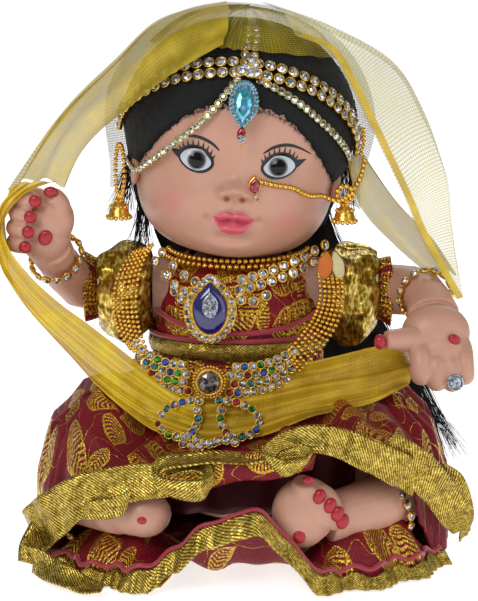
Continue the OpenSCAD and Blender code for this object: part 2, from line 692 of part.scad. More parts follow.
wrist_r = 7.2 / 8.6 * arm_r;
module bracelet_right() {
    color("gold") bangle(arm_place(-1, arm_right_rows[wrist_rows[0]]),
        arm_place(-1, arm_right_rows[wrist_rows[1]]), wrist_r + 1.4);
}
module bracelet_left() {
    color("gold") bangle(arm_place(1, arm_left_rows[wrist_rows[0]]),
        arm_place(1, arm_left_rows[wrist_rows[1]]), wrist_r + 1.4);
}

// ---- legs ----
module leg(side, rows) {
    plug(side, hip_y, hip_z, hip_face_x, hip_pin_r);
    x_cylinder(side, hip_y, hip_z, leg_start_x, leg_start_x + 6, thigh_r);
    tube(leg_path(side, rows), facing = [0, 0, 1], sides = 16);
}

module leg_right() {
    color("peachpuff") leg(-1, leg_right_rows);
}
module leg_left() {
    color("peachpuff") {
        leg(1, leg_left_rows);
        tube(leg_path(1, foot_left_rows), facing = [0, 1, 0], sides = 16);
    }
}

module anklet_right() {
    color("gold") bangle(leg_place(-1, leg_right_rows[ankle_rows[0]]),
        leg_place(-1, leg_right_rows[ankle_rows[1]]), 10.4);
}
module anklet_left() {
    color("gold") bangle(leg_place(1, leg_left_rows[ankle_rows[0]]),
        leg_place(1, leg_left_rows[ankle_rows[1]]), 10.4);
}

// ---- veil and hair, placed from the head and the hands ----
function hx(k) = head_r + k;
function hz(k) = head_mid_z + k;
hand_right_z = shoulder_z + 31;

module veil_fall_right() {
    rows = [[[-hx(-8), -20, hz(35)], [-hx(-6), 4, hz(36)], [-hx(-10), 26, hz(30)]],
        [[-hx(9), -24, hz(17)], [-hx(11), 2, hz(17)], [-hx(6), 26, hz(12)]],
        [[-hx(20), -26, hz(4)], [-hx(22), 0, hz(2)], [-hx(12), 24, hz(-6)]],
        [[-(hand_out_x + 4), -30, hand_right_z + 10], [-(hand_out_x + 4), -6, hand_right_z + 6],
            [-(hand_out_x - 10), 18, hand_right_z - 2]],
        [[-(hand_out_x + 5), -32, hand_right_z - 6], [-(hand_out_x + 5), -10, hand_right_z - 12],
            [-(hand_out_x - 8), 14, hand_right_z - 18]]];
    color("goldenrod") sheet(rows, veil_t);
}

module veil_fall_left() {
    rows = [[[hx(-6), -20, hz(33)], [hx(-4), 4, hz(34)], [hx(-8), 26, hz(28)]],
        [[hx(13), -20, hz(14)], [hx(15), 4, hz(14)], [hx(8), 26, hz(10)]],
        [[hx(28), -17, hz(-6)], [hx(28), 5, hz(-8)], [hx(16), 26, hz(-12)]],
        [[hand_out_x - 1, -14, shoulder_z + 28], [hand_out_x - 1, 6, shoulder_z + 24],
            [hand_out_x - 11, 26, shoulder_z + 18]],
        [[hand_out_x, -13, shoulder_z + 8], [hand_out_x - 1, 6, shoulder_z + 2],
            [hand_out_x - 9, 26, shoulder_z - 4]]];
    color("goldenrod") sheet([for (r = rows) [r[2], r[1], r[0]]], veil_t);
}

module veil_back() {
    y = hx(13);
    rows = [for (p = [[hz(22), -8, 30], [hz(0), 0, 34], [hz(-30), 1, 38], [neck_z - 30, 2, 42],
        [neck_z - 50, 6, 44]]) [for (x = [-1, -0.4, 0.2, 0.8]) [p[2] * x, y + p[1] - 5 * x * x, p[0]]]];
    color("goldenrod") sheet(rows, veil_t);
}

module veil_band_right() {
    path = [[-(hand_out_x + 1), -36, hand_right_z - 12], [-(hand_out_x - 3), -40, hand_right_z - 25],
        [-(hand_out_x - 14), -41, hand_right_z - 36], [-(hand_out_x - 27), -42, hand_right_z - 44],
        [-(hand_out_x - 42), -45, hand_right_z - 52]];
    color("goldenrod") tube([for (p = path) [p, 6, 1.4]], sides = 8);
}

module veil_band_left() {
    x = chest_r / 29;
    z = neck_z - 101;
    y = 29 - chest_r;
    path = [[52 * x, y - 33, z + 68], [38 * x, y - 34, z + 65], [22 * x, y - 33.5, z + 62.5],
        [8 * x, y - 35.6, z + 61.5], [-6 * x, y - 36, z + 61]];
    color("goldenrod") tube([for (p = path) [p, 4.5, 1.4]], sides = 8);
}

module hair_fall() {
    y = head_r + 5.4;
    floor_y = skirt_back + 6;
    rows = [[[-18, y - 4, hz(2)], [0, y, hz(2)], [18, y - 4, hz(2)]],
        [[-16, y - 4, hz(-30)], [4, y, hz(-30)], [22, y - 4, hz(-30)]],
        [[0, y - 2, neck_z - 35], [20, y + 1, neck_z - 35], [40, y - 3, neck_z - 35]],
        [[24, floor_y, 30], [46, floor_y - 2, 30], [66, floor_y - 14, 30]],
        [[34, floor_y + 1, 4], [58, floor_y - 5, 3], [80, floor_y - 24, 4]]];
    color("black") sheet(rows, 3);
}

torso_shell();
bodice();
bodice_lace_band();
skirt_waistband();
skirt_panel_front();
skirt_panel_left();
skirt_panel_back();
skirt_panel_right();
skirt_base_panel();
skirt_ribbon_top();
skirt_ribbon_floor();
ribbon_tail();
collar_beads();
choker();
necklace_strap_right();
necklace_strap_left();
necklace_band();
necklace_end_tabs();
veil_back();
veil_fall_right();
veil_fall_left();
veil_band_right();
veil_band_left();
hair_fall();
head_shell();
eye_right();
eye_left();
wig_cap();
veil_crown();
head_chain();
parting_chain();
brow_chain_right();
brow_chain_left();
nose_stud();
nose_chain();
ear_loops_right();
ear_loops_left();
tikka_frame();
tikka_stone();
tikka_drop();
jhumka_right();
jhumka_left();
choker_pendant_frame();
choker_pendant_stone();
pendant_centre_stone();
pendant_lobes();
arm_right();
sleeve_right();
sleeve_cuff_right();
arm_left();
sleeve_left();
sleeve_cuff_left();
finger_ring();
bracelet_right();
bracelet_left();
leg_right();
leg_left();
anklet_right();
anklet_left();
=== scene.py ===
"""Seated jointed vinyl doll in Rajasthani bridal dress: the visible pieces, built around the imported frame."""

import math
import random

import bmesh
import bpy
from mathutils import Matrix, Vector, noise


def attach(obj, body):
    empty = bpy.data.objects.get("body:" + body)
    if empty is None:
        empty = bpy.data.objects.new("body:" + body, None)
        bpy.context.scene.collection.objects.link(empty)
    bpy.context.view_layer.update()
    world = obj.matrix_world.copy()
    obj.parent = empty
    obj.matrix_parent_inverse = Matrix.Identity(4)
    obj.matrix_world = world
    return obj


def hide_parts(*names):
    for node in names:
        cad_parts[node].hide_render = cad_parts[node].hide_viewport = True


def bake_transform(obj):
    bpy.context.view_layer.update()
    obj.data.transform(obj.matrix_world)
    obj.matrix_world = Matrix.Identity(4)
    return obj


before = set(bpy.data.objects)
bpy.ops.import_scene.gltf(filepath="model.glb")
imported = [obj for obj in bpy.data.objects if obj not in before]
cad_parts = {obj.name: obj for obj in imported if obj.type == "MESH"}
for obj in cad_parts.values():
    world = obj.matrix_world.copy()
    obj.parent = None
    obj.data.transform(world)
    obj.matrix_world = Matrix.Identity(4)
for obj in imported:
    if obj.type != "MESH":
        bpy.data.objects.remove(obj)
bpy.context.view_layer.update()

MM = 0.001
NECK_Z = 101
HEAD_ROLL = math.radians(5)
# Head pieces are made in millimetres about the head's middle and then put in place by this
HEAD = (
    Matrix.Translation((0, 0, NECK_Z * MM))
    @ Matrix.Rotation(HEAD_ROLL, 4, "Y")
    @ Matrix.Translation((-3.5 * MM, 0, 45 * MM))
    @ Matrix.Scale(MM, 4)
)
BODY = Matrix.Scale(MM, 4)

# ------------------------------------------------------------------ camera, light and floor


def make_camera():
    aim = Vector((0.4, -20, 88)) * MM
    distance = 0.75
    elevation = math.radians(12)
    data = bpy.data.cameras.new("camera")
    data.sensor_width = 36
    data.lens = 124.8
    data.clip_start = 0.05
    camera = bpy.data.objects.new("camera", data)
    camera.location = aim + distance * Vector((0, -math.cos(elevation), math.sin(elevation)))
    camera.rotation_euler = (math.pi / 2 - elevation, 0, 0)
    bpy.context.scene.collection.objects.link(camera)
    bpy.context.scene.camera = camera


def area_light(name, place, aim, size, watts):
    data = bpy.data.lights.new(name, "AREA")
    data.size = size
    data.energy = watts
    lamp = bpy.data.objects.new(name, data)
    lamp.location = place
    lamp.rotation_euler = (Vector(aim) - Vector(place)).to_track_quat("-Z", "Y").to_euler()
    bpy.context.scene.collection.objects.link(lamp)


def make_world():
    world = bpy.data.worlds.new("studio")
    world.use_nodes = True
    background = world.node_tree.nodes["Background"]
    seen = add(world.node_tree, "LightPath").outputs["Is Camera Ray"]
    world.node_tree.links.new(math_node(world.node_tree, "ADD", math_node(
        world.node_tree, "MULTIPLY", seen, 0.68), 0.32), background.inputs["Strength"])
    background.inputs["Color"].default_value = (0.96, 0.98, 1, 1)
    bpy.context.scene.world = world
    bpy.context.scene.view_settings.view_transform = "Standard"


# ------------------------------------------------------------------ materials


def srgb(text):
    """Linear RGBA from an sRGB hex colour."""
    parts = [int(text[i : i + 2], 16) / 255 for i in (1, 3, 5)]
    return tuple(c / 12.92 if c <= 0.04045 else ((c + 0.055) / 1.055) ** 2.4 for c in parts) + (1,)


def add(tree, kind, links=None, **settings):
    """Adds a node. Settings are its properties or inputs by name or number, links go to its inputs."""
    node = tree.nodes.new("ShaderNode" + kind)
    for key, value in settings.items():
        if hasattr(node, key):
            setattr(node, key, value)
    for key, value in settings.items():
        if not hasattr(node, key):
            socket = node.inputs[int(key[1:])] if key[0] == "i" and key[1:].isdigit() else node.inputs[key]
            socket.default_value = value
    for key, output in (links or {}).items():
        tree.links.new(output, node.inputs[key])
    return node


def new_material(name, **inputs):
    """A material with its Principled shader's own sockets set. Returns material, tree and shader."""
    material = bpy.data.materials.new(name)
    material.use_nodes = True
    tree = material.node_tree
    shader = tree.nodes["Principled BSDF"]
    for key, value in inputs.items():
        shader.inputs[key.replace("_", " ")].default_value = value
    return material, tree, shader


def ramp(tree, value, stops):
    """Colour ramp node fed by value, with (place, hex) stops."""
    node = add(tree, "ValToRGB", {"Fac": value})
    elements = node.color_ramp.elements
    while len(elements) < len(stops):
        elements.new(0.5)
    for element, (place, colour) in zip(elements, stops):
        element.position = place
        element.color = srgb(colour)
    return node.outputs["Color"]


def math_node(tree, operation, a, b=0.0, clamp=False):
    node = add(tree, "Math", operation=operation, use_clamp=clamp)
    for socket, value in zip(node.inputs, (a, b)):
        if isinstance(value, (int, float)):
            socket.default_value = value
        else:
            tree.links.new(value, socket)
    return node.outputs[0]


def mix_colour(tree, share, a, b):
    node = add(tree, "Mix", data_type="RGBA")
    for socket, value in ((node.inputs[0], share), (node.inputs[6], a), (node.inputs[7], b)):
        if isinstance(value, bpy.types.NodeSocket):
            tree.links.new(value, socket)
        else:
            socket.default_value = value
    return node.outputs[2]


def bump(tree, shader, height, distance, strength=0.6):
    node = add(tree, "Bump", {"Height": height}, Strength=strength, Distance=distance)
    tree.links.new(node.outputs["Normal"], shader.inputs["Normal"])


def object_noise(tree, size_mm, detail=3.0, roughness=0.5):
    """Noise whose cells are size_mm across, on the piece's own coordinates."""
    place = add(tree, "TexCoord")
    return add(
        tree, "TexNoise", {"Vector": place.outputs["Object"]},
        Scale=1 / (size_mm * MM), Detail=detail, Roughness=roughness,
    ).outputs["Fac"]


def make_vinyl():
    """Rotation-moulded PVC doll vinyl: satin, slightly translucent, with rosy painted cheeks and lips, and
    painted shade in the nostrils and mouth corners, all from the attribute.
    """
    material, tree, shader = new_material(
        "doll_vinyl", Roughness=0.42, Subsurface_Weight=0.12, Subsurface_Scale=0.004,
        Coat_Weight=0.08, Coat_Roughness=0.3,
    )
    shader.inputs["Subsurface Radius"].default_value = (1, 0.35, 0.2)
    tone = object_noise(tree, 9)
    skin = mix_colour(tree, tone, srgb("#CC9A84"), srgb("#BC8A74"))
    paint = add(tree, "Attribute", attribute_name="paint").outputs["Color"]
    parts = add(tree, "SeparateColor", {"Color": paint})
    # Green channel: rosy cheek paint, plus painted shade laid in the nostrils and mouth corners in the same
    # colour.
    blush_and_shade = mix_colour(tree, parts.outputs[1], skin, srgb("#D9707A"))
    lips = mix_colour(tree, parts.outputs[0], blush_and_shade, srgb("#D05C6C"))
    dots = mix_colour(tree, parts.outputs[2], lips, srgb("#B01C2C"))
    tree.links.new(dots, shader.inputs["Base Color"])
    gloss = math_node(tree, "MULTIPLY", parts.outputs[0], -0.24)
    tree.links.new(math_node(tree, "ADD", gloss, 0.42), shader.inputs["Roughness"])
    bump(tree, shader, object_noise(tree, 0.5), 0.00004, 0.35)
    return material


def make_felt():
    """Black needled felt: matte, fuzzy, with clumps of fibre."""
    material, tree, shader = new_material("hair_felt", Roughness=0.95, Sheen_Weight=0.04,
        Sheen_Roughness=0.6)
    clumps = object_noise(tree, 1.6, 6, 0.7)
    tree.links.new(ramp(tree, clumps, [(0.3, "#020303"), (0.75, "#0D1012")]), shader.inputs["Base Color"])
    bump(tree, shader, clumps, 0.0006, 0.9)
    return material


def make_eye_print():
    """Printed acrylic dome: grey-white sclera, grey-brown iris with dark rim, black pupil."""
    material, tree, shader = new_material("eye_acrylic", Roughness=0.12, Coat_Weight=0.25,
        Coat_Roughness=0.03)
    shader.inputs["Specular IOR Level"].default_value = 0.2
    uv = add(tree, "TexCoord").outputs["UV"]
    far = add(tree, "VectorMath", {0: uv}, operation="LENGTH").outputs["Value"]
    rays = add(tree, "TexNoise", {"Vector": uv}, Scale=9.0, Detail=4.0).outputs["Fac"]
    wave = math_node(tree, "MULTIPLY", math_node(tree, "SUBTRACT", rays, 0.5), 0.12)
    ring = math_node(tree, "ADD", far, wave)
    iris = ramp(tree, math_node(tree, "DIVIDE", ring, 3.6), [
        (0.0, "#030202"), (0.56, "#070505"), (0.66, "#1C120E"), (0.76, "#2A1E1A"), (0.80, "#6E6C70"),
        (0.84, "#8C8A8E"), (0.88, "#2C2A2E"), (0.92, "#A8ACB6"), (1.0, "#C0C4CE"),
    ])
    tree.links.new(iris, shader.inputs["Base Color"])
    return material


def make_plain(name, colour, **inputs):
    """A painted or cast finish with faint mottling."""
    material, tree, shader = new_material(name, **inputs)
    tone = object_noise(tree, 1.5)
    dark = tuple(c * 0.7 for c in srgb(colour)[:3]) + (1,)
    tree.links.new(mix_colour(tree, tone, srgb(colour), dark), shader.inputs["Base Color"])
    return material


# ------------------------------------------------------------------ mesh helpers


def finish(bm, name, material, body, slot, nodes=(), smooth=True, placed=BODY):
    """Turns a bmesh made in millimetres into a piece that rides on a body."""
    bm.transform(placed)
    mesh = bpy.data.meshes.new(name)
    bm.to_mesh(mesh)
    bm.free()
    for face in mesh.polygons:
        face.use_smooth = smooth
    piece = bpy.data.objects.new(name, mesh)
    bpy.context.scene.collection.objects.link(piece)
    for one in material if isinstance(material, (list, tuple)) else [material]:
        mesh.materials.append(one)
    if body:
        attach(piece, body)
    if nodes:
        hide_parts(*nodes)
    return piece


def bell(x, z, cx, cz, wx, wz):
    """Smooth bump of height 1 at (cx, cz), wx and wz wide."""
    return math.exp(-(((x - cx) / wx) ** 2) - ((z - cz) / wz) ** 2)


def smooth_step(low, high, value):
    t = min(max((value - low) / (high - low), 0), 1)
    return t * t * (3 - 2 * t)


def curve_at(points, place):
    """Smooth interpolation of (place, value) points."""
    for (a, va), (b, vb) in zip(points, points[1:]):
        if place <= b:
            t = min(max((place - a) / (b - a), 0), 1)
            return va + (vb - va) * t * t * (3 - 2 * t)
    return points[-1][1]


# ------------------------------------------------------------------ head

HEAD_WIDE, HEAD_DEEP, HEAD_HIGH, HEAD_LOW = 41.5, 40, 40, 43
NOSE_Z, MOUTH_Z, EYE_Z, EYE_X = -15.2, -25.8, -6, 14.2


def head_width(z):
    """Half width of the head at height z: full cheeks below, round crown above."""
    power, high = (3.3, HEAD_LOW) if z < 0 else (2.1, HEAD_HIGH)
    wide = 36.8 + (HEAD_WIDE - 36.8) * smooth_step(-20, 8, z)
    return wide * (1 - min(abs(z / high), 1) ** power) ** (1 / power)


def head_depth(z):
    power, high = (3.6, HEAD_LOW) if z < 0 else (2.1, HEAD_HIGH)
    return HEAD_DEEP * (1 - min(abs(z / high), 1) ** power) ** (1 / power)


def face_relief(x, z):
    """How far the face stands out in front of the plain head shape, in millimetres."""
    side = abs(x)
    out = 2.2 * bell(side, z, 18, -22, 9, 9)
    out += 1.2 * bell(x, z, 0, 22, 26, 14)
    out -= 2.6 * bell(side, z, 14.5, -5, 8.5, 6.5)
    out += 1.0 * bell(x, z, 0, -7, 3.4, 5)
    out += 5.0 * bell(x, z, 0, NOSE_Z + 0.4, 3.7, 3.1)
    out += 2.9 * bell(side, z, 4.7, NOSE_Z - 1.0, 1.8, 1.8)
    out -= 3.4 * bell(side, z, 2.7, NOSE_Z - 2.9, 1.2, 0.9)
    out -= 0.8 * bell(x, z, 0, MOUTH_Z + 5.8, 1.5, 1.8)
    upper_z = MOUTH_Z + 2.1 - 1.3 * (side / 7) ** 2 - 0.7 * math.exp(-((side / 1.1) ** 2))
    reach = math.exp(-((side / 6.6) ** 4))
    out += 2.6 * reach * math.exp(-(((z - upper_z) / 1.7) ** 2))
    out += 3.3 * math.exp(-((side / 5.8) ** 4)) * math.exp(-(((z - MOUTH_Z + 2.9) / 2.3) ** 2))
    out -= 2.3 * math.exp(-((side / 7.2) ** 4)) * math.exp(-(((z - mouth_line(x)) / 0.62) ** 2))
    out -= 0.9 * bell(side, z, 8.9, MOUTH_Z, 1.3, 1.5)
    out -= 1.3 * bell(x, z, 0, MOUTH_Z - 7.0, 6, 1.9)
    out += 4.2 * bell(x, z, 0, -37, 10, 5.5)
    return out


def mouth_line(x):
    return MOUTH_Z + 0.5 * math.cos(x * 0.9) - 0.2


def face_y(x, z):
    """Depth of the finished face at (x, z)."""
    w = max(head_width(z), 0.01)
    plain = head_depth(z) * math.sqrt(max(1 - (x / w) ** 2, 0))
    return -(plain + face_relief(x, z) * smooth_step(0, 12, plain))


def lip_mask(x, z):
    side = abs(x - 0.3)
    top = MOUTH_Z + 3.7 - 0.055 * side * side - 1.0 * math.exp(-((side / 1.3) ** 2))
    bottom = MOUTH_Z - 5.5 + 0.1 * side * side
    inside = min(top - z, z - bottom, 1.2 * (7.0 - side))
    return smooth_step(-0.25, 0.35, inside)


def head_ball(across, rings):
    """Sphere with more segments at the front, shaped to the head but for its face."""
    bm = bmesh.new()
    bmesh.ops.create_uvsphere(bm, u_segments=across, v_segments=rings, radius=1)
    for v in bm.verts:
        turn = math.atan2(v.co.x, -v.co.y)
        turn -= 0.45 * math.sin(turn)
        lift = math.asin(min(max(v.co.z, -1), 1))
        z = (HEAD_HIGH if lift > 0 else HEAD_LOW) * math.sin(lift)
        v.co = (head_width(z) * math.sin(turn), -head_depth(z) * math.cos(turn), z)
    return bm


def make_head(vinyl):
    bm = head_ball(320, 250)
    paint = bm.verts.layers.float_color.new("paint")
    for v in bm.verts:
        x, y, z = v.co
        if y < 0:
            v.co.y = face_y(x, z)
        front = smooth_step(0, 12, -y)
        blush_and_shade = 0.36 * bell(x, z, -22, -22, 5.5, 5) + 0.34 * bell(x, z, 19.5, -25, 5.5, 5)
        side = abs(x)
        # Painted shade: the rose colour is laid into the mouth-corner and nostril hollows that the face relief
        # carves.
        blush_and_shade += 0.1 * bell(side, z, 8.6, MOUTH_Z, 2, 2)
        blush_and_shade += 0.12 * bell(side, z, 2.7, NOSE_Z - 2.9, 1.6, 1)
        v[paint] = (lip_mask(x, z) * front, blush_and_shade * front, 0, 1)
    for side in (-1, 1):
        for v in bmesh.ops.create_icosphere(bm, subdivisions=4, radius=1)["verts"]:
            v[paint] = (0, 0, 0, 1)
            x, y, z = v.co
            dish = 0.9 * math.exp(-((y * 1.6) ** 2) - (z * 1.4) ** 2)
            v.co = (side * (36.5 + 2.4 * x - dish * (x > 0) * 2.2), -11 + 4.6 * y + 1.5 * x, -14 + 6.6 * z)
    neck = bmesh.ops.create_cone(
        bm, segments=64, radius1=13, radius2=16, depth=14,
        matrix=Matrix.Rotation(-HEAD_ROLL, 4, "Y") @ Matrix.Translation((0.5, 0, -37)),
    )
    for v in neck["verts"]:
        v[paint] = (0, 0, 0, 1)
    return finish(bm, "doll_head", vinyl, "head", "vinyl", ["head_shell"], placed=HEAD)


def on_face(x, z, proud):
    return Vector((x, face_y(x, z) - proud, z))


def eye_outline(side, share, grow=0.0):
    """Point of the almond eye opening at angle share of a turn."""
    angle = share * math.tau
    c, s = math.cos(angle), math.sin(angle)
    wide = (5.8 if c > 0 else 5.3) + grow
    high = (3.9 if s > 0 else 3.7) + grow
    x = wide * c
    z = high * s * (1 - 0.22 * abs(c) ** 3) + 0.7 * c
    return side * (EYE_X + x), EYE_Z + z


def make_eye(side, material):
    """Domed eye, an almond patch of sphere standing just proud of its socket."""
    bm = bmesh.new()
    rings, spokes = 14, 64
    bmesh.ops.create_circle(bm, cap_ends=False, segments=spokes, radius=1)
    edge = list(bm.edges)
    for ring in range(1, rings + 1):
        new = bmesh.ops.extrude_edge_only(bm, edges=edge)["geom"]
        edge = [g for g in new if isinstance(g, bmesh.types.BMEdge)]
        scale = (1 - ring / rings) / (1 - (ring - 1) / rings)
        bmesh.ops.scale(bm, vec=(scale, scale, 1),
            verts=[g for g in new if isinstance(g, bmesh.types.BMVert)])
    bmesh.ops.remove_doubles(bm, verts=bm.verts, dist=1e-5)
    uv = bm.loops.layers.uv.new("eye")
    middle_x, middle_z = side * EYE_X, EYE_Z
    for v in bm.verts:
        radius = math.hypot(v.co.x, v.co.y)
        x, z = eye_outline(side, math.atan2(v.co.y, v.co.x) / math.tau)
        ex, ez = side * EYE_X, EYE_Z
        x, z = ex + (x - ex) * radius, ez + (z - ez) * radius
        base = face_y(side * EYE_X, EYE_Z) - 1.5
        dome = 1.6 * (1 - radius**2)
        curve = 0.012 * (x - side * EYE_X) ** 2
        v.co = (x, min(base + curve - dome, face_y(x, z) - 0.15), z)
    for face in bm.faces:
        for loop in face.loops:
            loop[uv].uv = (loop.vert.co.x - middle_x, loop.vert.co.z - middle_z)
    bmesh.ops.recalc_face_normals(bm, faces=bm.faces)
    name = "right" if side < 0 else "left"
    return finish(bm, "eye_dome_" + name, material, "head", "eye", ["eye_" + name], placed=HEAD)


def stroke(bm, points, widths, proud=0.22):
    """A thin painted stroke that follows the face: points are (x, z), widths the full width at each."""
    rows = []
    for i, (x, z) in enumerate(points):
        ax, az = points[max(i - 1, 0)]
        bx, bz = points[min(i + 1, len(points) - 1)]
        along = Vector((bx - ax, bz - az)).normalized()
        nx, nz = -along.y * widths[i] / 2, along.x * widths[i] / 2
        rows.append([bm.verts.new(on_face(x + k * nx, z + k * nz, proud - 0.2 * abs(k))) for k in (-1, 0,
            1)])
    for a, b in zip(rows, rows[1:]):
        for k in (0, 1):
            bm.faces.new((a[k], a[k + 1], b[k + 1], b[k]))


def spline(points, count):
    """Catmull-Rom curve through points."""
    out = []
    for i in range(count + 1):
        f = i / count * (len(points) - 1)
        k = min(int(f), len(points) - 2)
        t = f - k
        p = [Vector(points[min(max(k + j, 0), len(points) - 1)]) for j in (-1, 0, 1, 2)]
        out.append(0.5 * (2 * p[1] + (p[2] - p[0]) * t + (2 * p[0] - 5 * p[1] + 4 * p[2] - p[3]) * t * t
            + (3 * p[1] - p[0] - 3 * p[2] + p[3]) * t**3))
    return out


def make_face_paint(black):
    """Brows, eye outlines and lashes, painted in black."""
    bm = bmesh.new()
    for side in (-1, 1):
        arch = ((6.6, -1.9), (9.5, 0.4), (14, 2.0), (18.5, 1.8), (22.5, 0.4)) if side < 0 else (
            (8.6, -1.6), (12, 0.7), (16.5, 1.8), (21, 0.9), (25.4, -1.3))
        brow = spline([(side * x, z, 0) for x, z in arch], 24)
        stroke(bm, [(p.x, p.y) for p in brow],
            [0.3 + 0.95 * math.sin(math.pi * (i / 24) ** 0.8) for i in range(25)])
        ring = [eye_outline(side, i / 72, 0.25) for i in range(73)]
        stroke(bm, ring, [0.95 + 0.75 * max(math.sin(i / 72 * math.tau + 0.15), 0) + 0.5 * max(
            math.cos(i / 72 * math.tau), 0) for i in range(73)], 0.42)
        ex, ez = eye_outline(side, 0.01)
        stroke(bm, [(ex - side * 1.4, ez - 0.3), (ex + side * 1.0, ez + 0.5), (ex + side * 3.8, ez + 2.0)],
            [3.4, 2.6, 0.2], 0.34)
        for i in range(10):
            share = 0.03 + 0.4 * i / 9
            x, z = eye_outline(side, share, 0.7)
            lean = side * 0.9 * math.cos(share * math.tau)
            reach = 1.5 + 1.0 * math.sin(math.pi * i / 9)
            stroke(bm, [(x, z), (x + lean * 0.5, z + reach * 0.55), (x + lean, z + reach)],
                [0.75, 0.5, 0.08], 0.3)
    bmesh.ops.recalc_face_normals(bm, faces=bm.faces)
    return finish(bm, "face_paint", black, "head", "vinyl", placed=HEAD)


def hairline(x):
    """Height of the felt cap's edge across the front."""
    return 13.5 - 27.5 * (abs(x + 0.5) / 35.5) ** 2.7


def make_hair_cap(felt):
    """Felt cap over the skull with a soft uneven edge, and short fibres along its hairline."""
    bm = head_ball(200, 150)
    thick = 2.0
    for v in bm.verts:
        x, y, z = v.co
        edge = hairline(x) if y < 0 else -32
        sunk = smooth_step(-1.5, 2.5, z - edge + 1.2 * noise.noise(v.co * 0.35))
        rough = 0.45 * noise.noise(v.co * 0.8)
        v.co = v.co * (1 + (thick * sunk + rough * sunk - 0.4) / 41)
    low = [f for f in bm.faces if f.calc_center_median().z < (
        hairline(f.calc_center_median().x) if f.calc_center_median().y < 0 else -32) - 2]
    bmesh.ops.delete(bm, geom=low, context="FACES")
    draw = random.Random(11)
    for _ in range(2600):
        x = draw.uniform(-37, 37)
        z = hairline(x) + draw.uniform(-0.5, 4)
        w = max(head_width(z), 0.01)
        y = -head_depth(z) * math.sqrt(max(1 - (x / w) ** 2, 0)) * 1.01 - 0.5
        root = Vector((x, y, z))
        lean = Vector((draw.uniform(-1.4, 1.4), -0.4 * draw.random() - 0.2, draw.uniform(-2.2, 0.6)))
        side = lean.cross(Vector((0, -1, 0))).normalized() * 0.07
        bm.faces.new([bm.verts.new(root - side), bm.verts.new(root + side), bm.verts.new(root + lean)])
    return finish(bm, "hair_cap", felt, "head", "felt", ["wig_cap"], placed=HEAD)


# ------------------------------------------------------------------ cloth and metal materials


def make_net(name, haze, line, colours, glint_size):
    """Metallic-yarn net: a fine see-through ground with a drawn mesh of 0.9 by 1.2 mm and painted
    glints, bright pale spots painted into its colour. UV in millimetres.
    """
    material, tree, shader = new_material(name, Roughness=0.5, Metallic=0.15)
    where = add(tree, "TexCoord").outputs["UV"]
    uv = add(tree, "SeparateXYZ", {0: where})
    across, down = (math_node(tree, "LESS_THAN", math_node(tree, "FLOORED_MODULO", math_node(
        tree, "DIVIDE", output, pitch), 1.0), share)
        for output, pitch, share in ((uv.outputs[0], 1.2, 0.24), (uv.outputs[1], 0.9, 0.34)))
    mesh = math_node(tree, "MULTIPLY", math_node(tree, "MAXIMUM", across, down), line - haze)
    cells = add(tree, "TexVoronoi", {"Vector": where}, Scale=0.7, Randomness=1.0)
    # Painted glints: small pale gold spots, painted into the colour and made opaque, stand in for light caught
    # by the yarn.
    painted_glint = math_node(tree, "LESS_THAN", cells.outputs["Distance"], glint_size)
    uneven = add(tree, "TexNoise", {"Vector": where}, Scale=0.09, Detail=2.0).outputs["Fac"]
    ground = math_node(tree, "ADD", math_node(tree, "MULTIPLY", uneven, 0.3), haze - 0.15)
    tree.links.new(math_node(tree, "MAXIMUM", math_node(tree, "ADD", ground, mesh), painted_glint, True),
        shader.inputs["Alpha"])
    yarn = ramp(tree, uneven, [(0.3, colours[0]), (0.7, colours[1])])
    tree.links.new(mix_colour(tree, painted_glint, yarn, srgb("#FFF6C0")), shader.inputs["Base Color"])
    return material


def leaf_mask(tree, u, v, cx, cy, length, width, turn):
    """Outlined leaf motif with a striped filling."""
    c, s = math.cos(turn), math.sin(turn)
    du, dv = math_node(tree, "SUBTRACT", u, cx), math_node(tree, "SUBTRACT", v, cy)
    x = math_node(tree, "ADD", math_node(tree, "MULTIPLY", du, c), math_node(tree, "MULTIPLY", dv, s))
    y = math_node(tree, "SUBTRACT", math_node(tree, "MULTIPLY", dv, c), math_node(tree, "MULTIPLY", du, s))
    share = math_node(tree, "DIVIDE", x, length, True)
    half = math_node(tree, "MULTIPLY", math_node(tree, "SINE", math_node(
        tree, "MULTIPLY", math_node(tree, "POWER", share, 0.7), math.pi)), width)
    inside = math_node(tree, "SUBTRACT", half, math_node(tree, "ABSOLUTE", y))
    body = math_node(tree, "GREATER_THAN", inside, 0.05)
    core = math_node(tree, "GREATER_THAN", inside, 1.0)
    stripe = math_node(tree, "GREATER_THAN", math_node(tree, "SINE", math_node(
        tree, "ADD", math_node(tree, "MULTIPLY", x, 4.4), math_node(tree, "MULTIPLY", inside, 2.0))), -0.1)
    hollow = math_node(tree, "MULTIPLY", core, math_node(tree, "SUBTRACT", 1.0, stripe))
    return math_node(tree, "SUBTRACT", body, hollow, True)


# Corner, length, half width and turn of each leaf of the brocade's repeat, in millimetres and radians
LEAVES = ((2, 4, 20, 6.0, 0.5), (25, 3, 18, 4.8, 1.9), (3, 25, 17, 4.6, -0.45), (17, 22, 15, 4.4, 0.8))


